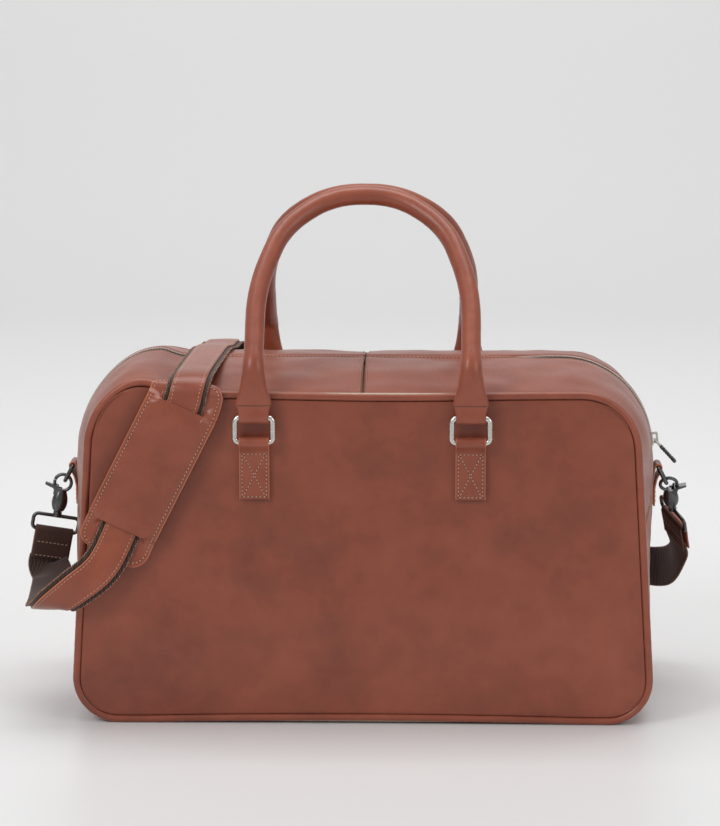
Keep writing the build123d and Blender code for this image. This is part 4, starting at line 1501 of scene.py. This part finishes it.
LIP_ROW = 6.6 * MM
rows = []
for sign in (-1, 1):
    for low, high in ((arch_s(0, True) + 0.05, 4.49), (4.51, arch_s(0, False) - 0.05)):
        length_low, length_high = length_at(MIDDLE_LENGTHS, low), length_at(MIDDLE_LENGTHS, high)
        path = [s_at(MIDDLE_LENGTHS, mix(length_low, length_high, k / 150)) for k in range(151)]
        rows.append(gusset_row([(s, sign * (lip_y(s) + LIP_ROW)) for s in path]))
middle_length = length_at(MIDDLE_LENGTHS, 4.5)
for sign in (-1, 1):
    for off in (-2.9 * MM, 2.9 * MM):
        s = s_at(MIDDLE_LENGTHS, middle_length + off)
        rows.append(gusset_row([(s, sign * mix(9 * MM, GUSSET_Y - 4 * MM, k / 40)) for k in range(41)]))
for right in (True, False):
    for off in (3.0 * MM, -3.0 * MM):
        path = []
        for k in range(61):
            y = mix(-GUSSET_Y + 5 * MM, GUSSET_Y - 5 * MM, k / 60)
            s = arch_s(y, right)
            step = off / (MIDDLE["high"] - 0.13)
            path.append((s + (step if right else -step), y))
        rows.append(gusset_row(path))
stitched("gusset_stitches", rows, "bag", "bag_leather", PALE_THREAD, radius=0.36 * MM)

# %% [markdown]
# ## Floor, light and camera
# A pale sweep of paper: a floor that curves up into a wall far behind. Two large soft panels
# light the front from the upper left and right, and a strip overhead draws the highlight along
# the handles. The camera is far off with a long lens, a little above the bag.

# %% Stage
def studio_sweep():
    back, rise = 2.6, 1.2
    line = [Vector((0, -6.0, 0)), Vector((0, back, 0))]
    line += [Vector((0, back + rise * math.sin(a), rise - rise * math.cos(a)))
             for a in (math.pi / 2 * k / 24 for k in range(1, 25))]
    line.append(Vector((0, back + rise, 7.0)))
    stations = [(point, Vector((1, 0, 0)), Vector((0, 0, 1))) for point in resampled(line, 0.1)]
    return bent_grid(len(stations) - 1, 4,
                     lambda a, b: station_between(stations, a)[0] + Vector((mix(-7, 7, b), 0, 0)))


bm = studio_sweep()
bmesh.ops.recalc_face_normals(bm, faces=bm.faces)
mesh = bpy.data.meshes.new("studio_floor")
bm.to_mesh(mesh)
bm.free()
for face in mesh.polygons:
    face.use_smooth = True
floor = bpy.data.objects.new("studio_floor", mesh)
bpy.context.scene.collection.objects.link(floor)
PAPER, tree, shader, vector = new_material("pale_floor")
shader.inputs["Base Color"].default_value = (0.77, 0.77, 0.77, 1)
shader.inputs["Roughness"].default_value = 0.35
shader.inputs["Specular IOR Level"].default_value = 0.35
mesh.materials.append(PAPER)


# %% Lights
def soft_panel(name, place, aim, size, power, tint=(1, 1, 1)):
    light = bpy.data.lights.new(name, "AREA")
    light.shape = "RECTANGLE"
    light.size, light.size_y = size
    light.energy = power
    light.color = tint
    lamp = bpy.data.objects.new(name, light)
    lamp.location = place
    lamp.rotation_euler = (Vector(aim) - Vector(place)).to_track_quat("-Z", "Y").to_euler()
    bpy.context.scene.collection.objects.link(lamp)
    return lamp


soft_panel("key_left", (-1.7, -1.9, 1.9), (0, 0, 0.25), (1.0, 1.4), 29)
soft_panel("fill_right", (2.0, -1.6, 1.3), (0, 0, 0.25), (1.0, 1.6), 13)
soft_panel("overhead", (0.0, 0.2, 2.3), (0, 0, 0.2), (2.2, 1.0), 26)
soft_panel("wall_light", (0.0, 1.0, 3.0), (0, 3.8, 1.4), (5.0, 1.0), 58)
world = bpy.data.worlds.new("studio_air")
world.use_nodes = True
world.node_tree.nodes["Background"].inputs["Color"].default_value = (1, 1, 1, 1)
world.node_tree.nodes["Background"].inputs["Strength"].default_value = 0.42
bpy.context.scene.world = world
bpy.context.scene.view_settings.view_transform = "Standard"

# %% Camera
CAMERA_AZIMUTH = math.radians(1.3)
CAMERA_RISE = math.radians(9.8)
CAMERA_AWAY = 3.0
CAMERA_AIM = Vector((-0.005, 0, 0.266))
away = Vector((math.sin(CAMERA_AZIMUTH) * math.cos(CAMERA_RISE),
               -math.cos(CAMERA_AZIMUTH) * math.cos(CAMERA_RISE), math.sin(CAMERA_RISE)))
lens = bpy.data.cameras.new("camera")
lens.sensor_width = 36
lens.sensor_fit = "AUTO"
lens.lens = 140
lens.clip_end = 50
camera = bpy.data.objects.new("camera", lens)
camera.location = CAMERA_AIM + away * CAMERA_AWAY
camera.rotation_euler = (-away).to_track_quat("-Z", "Y").to_euler()
bpy.context.scene.collection.objects.link(camera)
bpy.context.scene.camera = camera
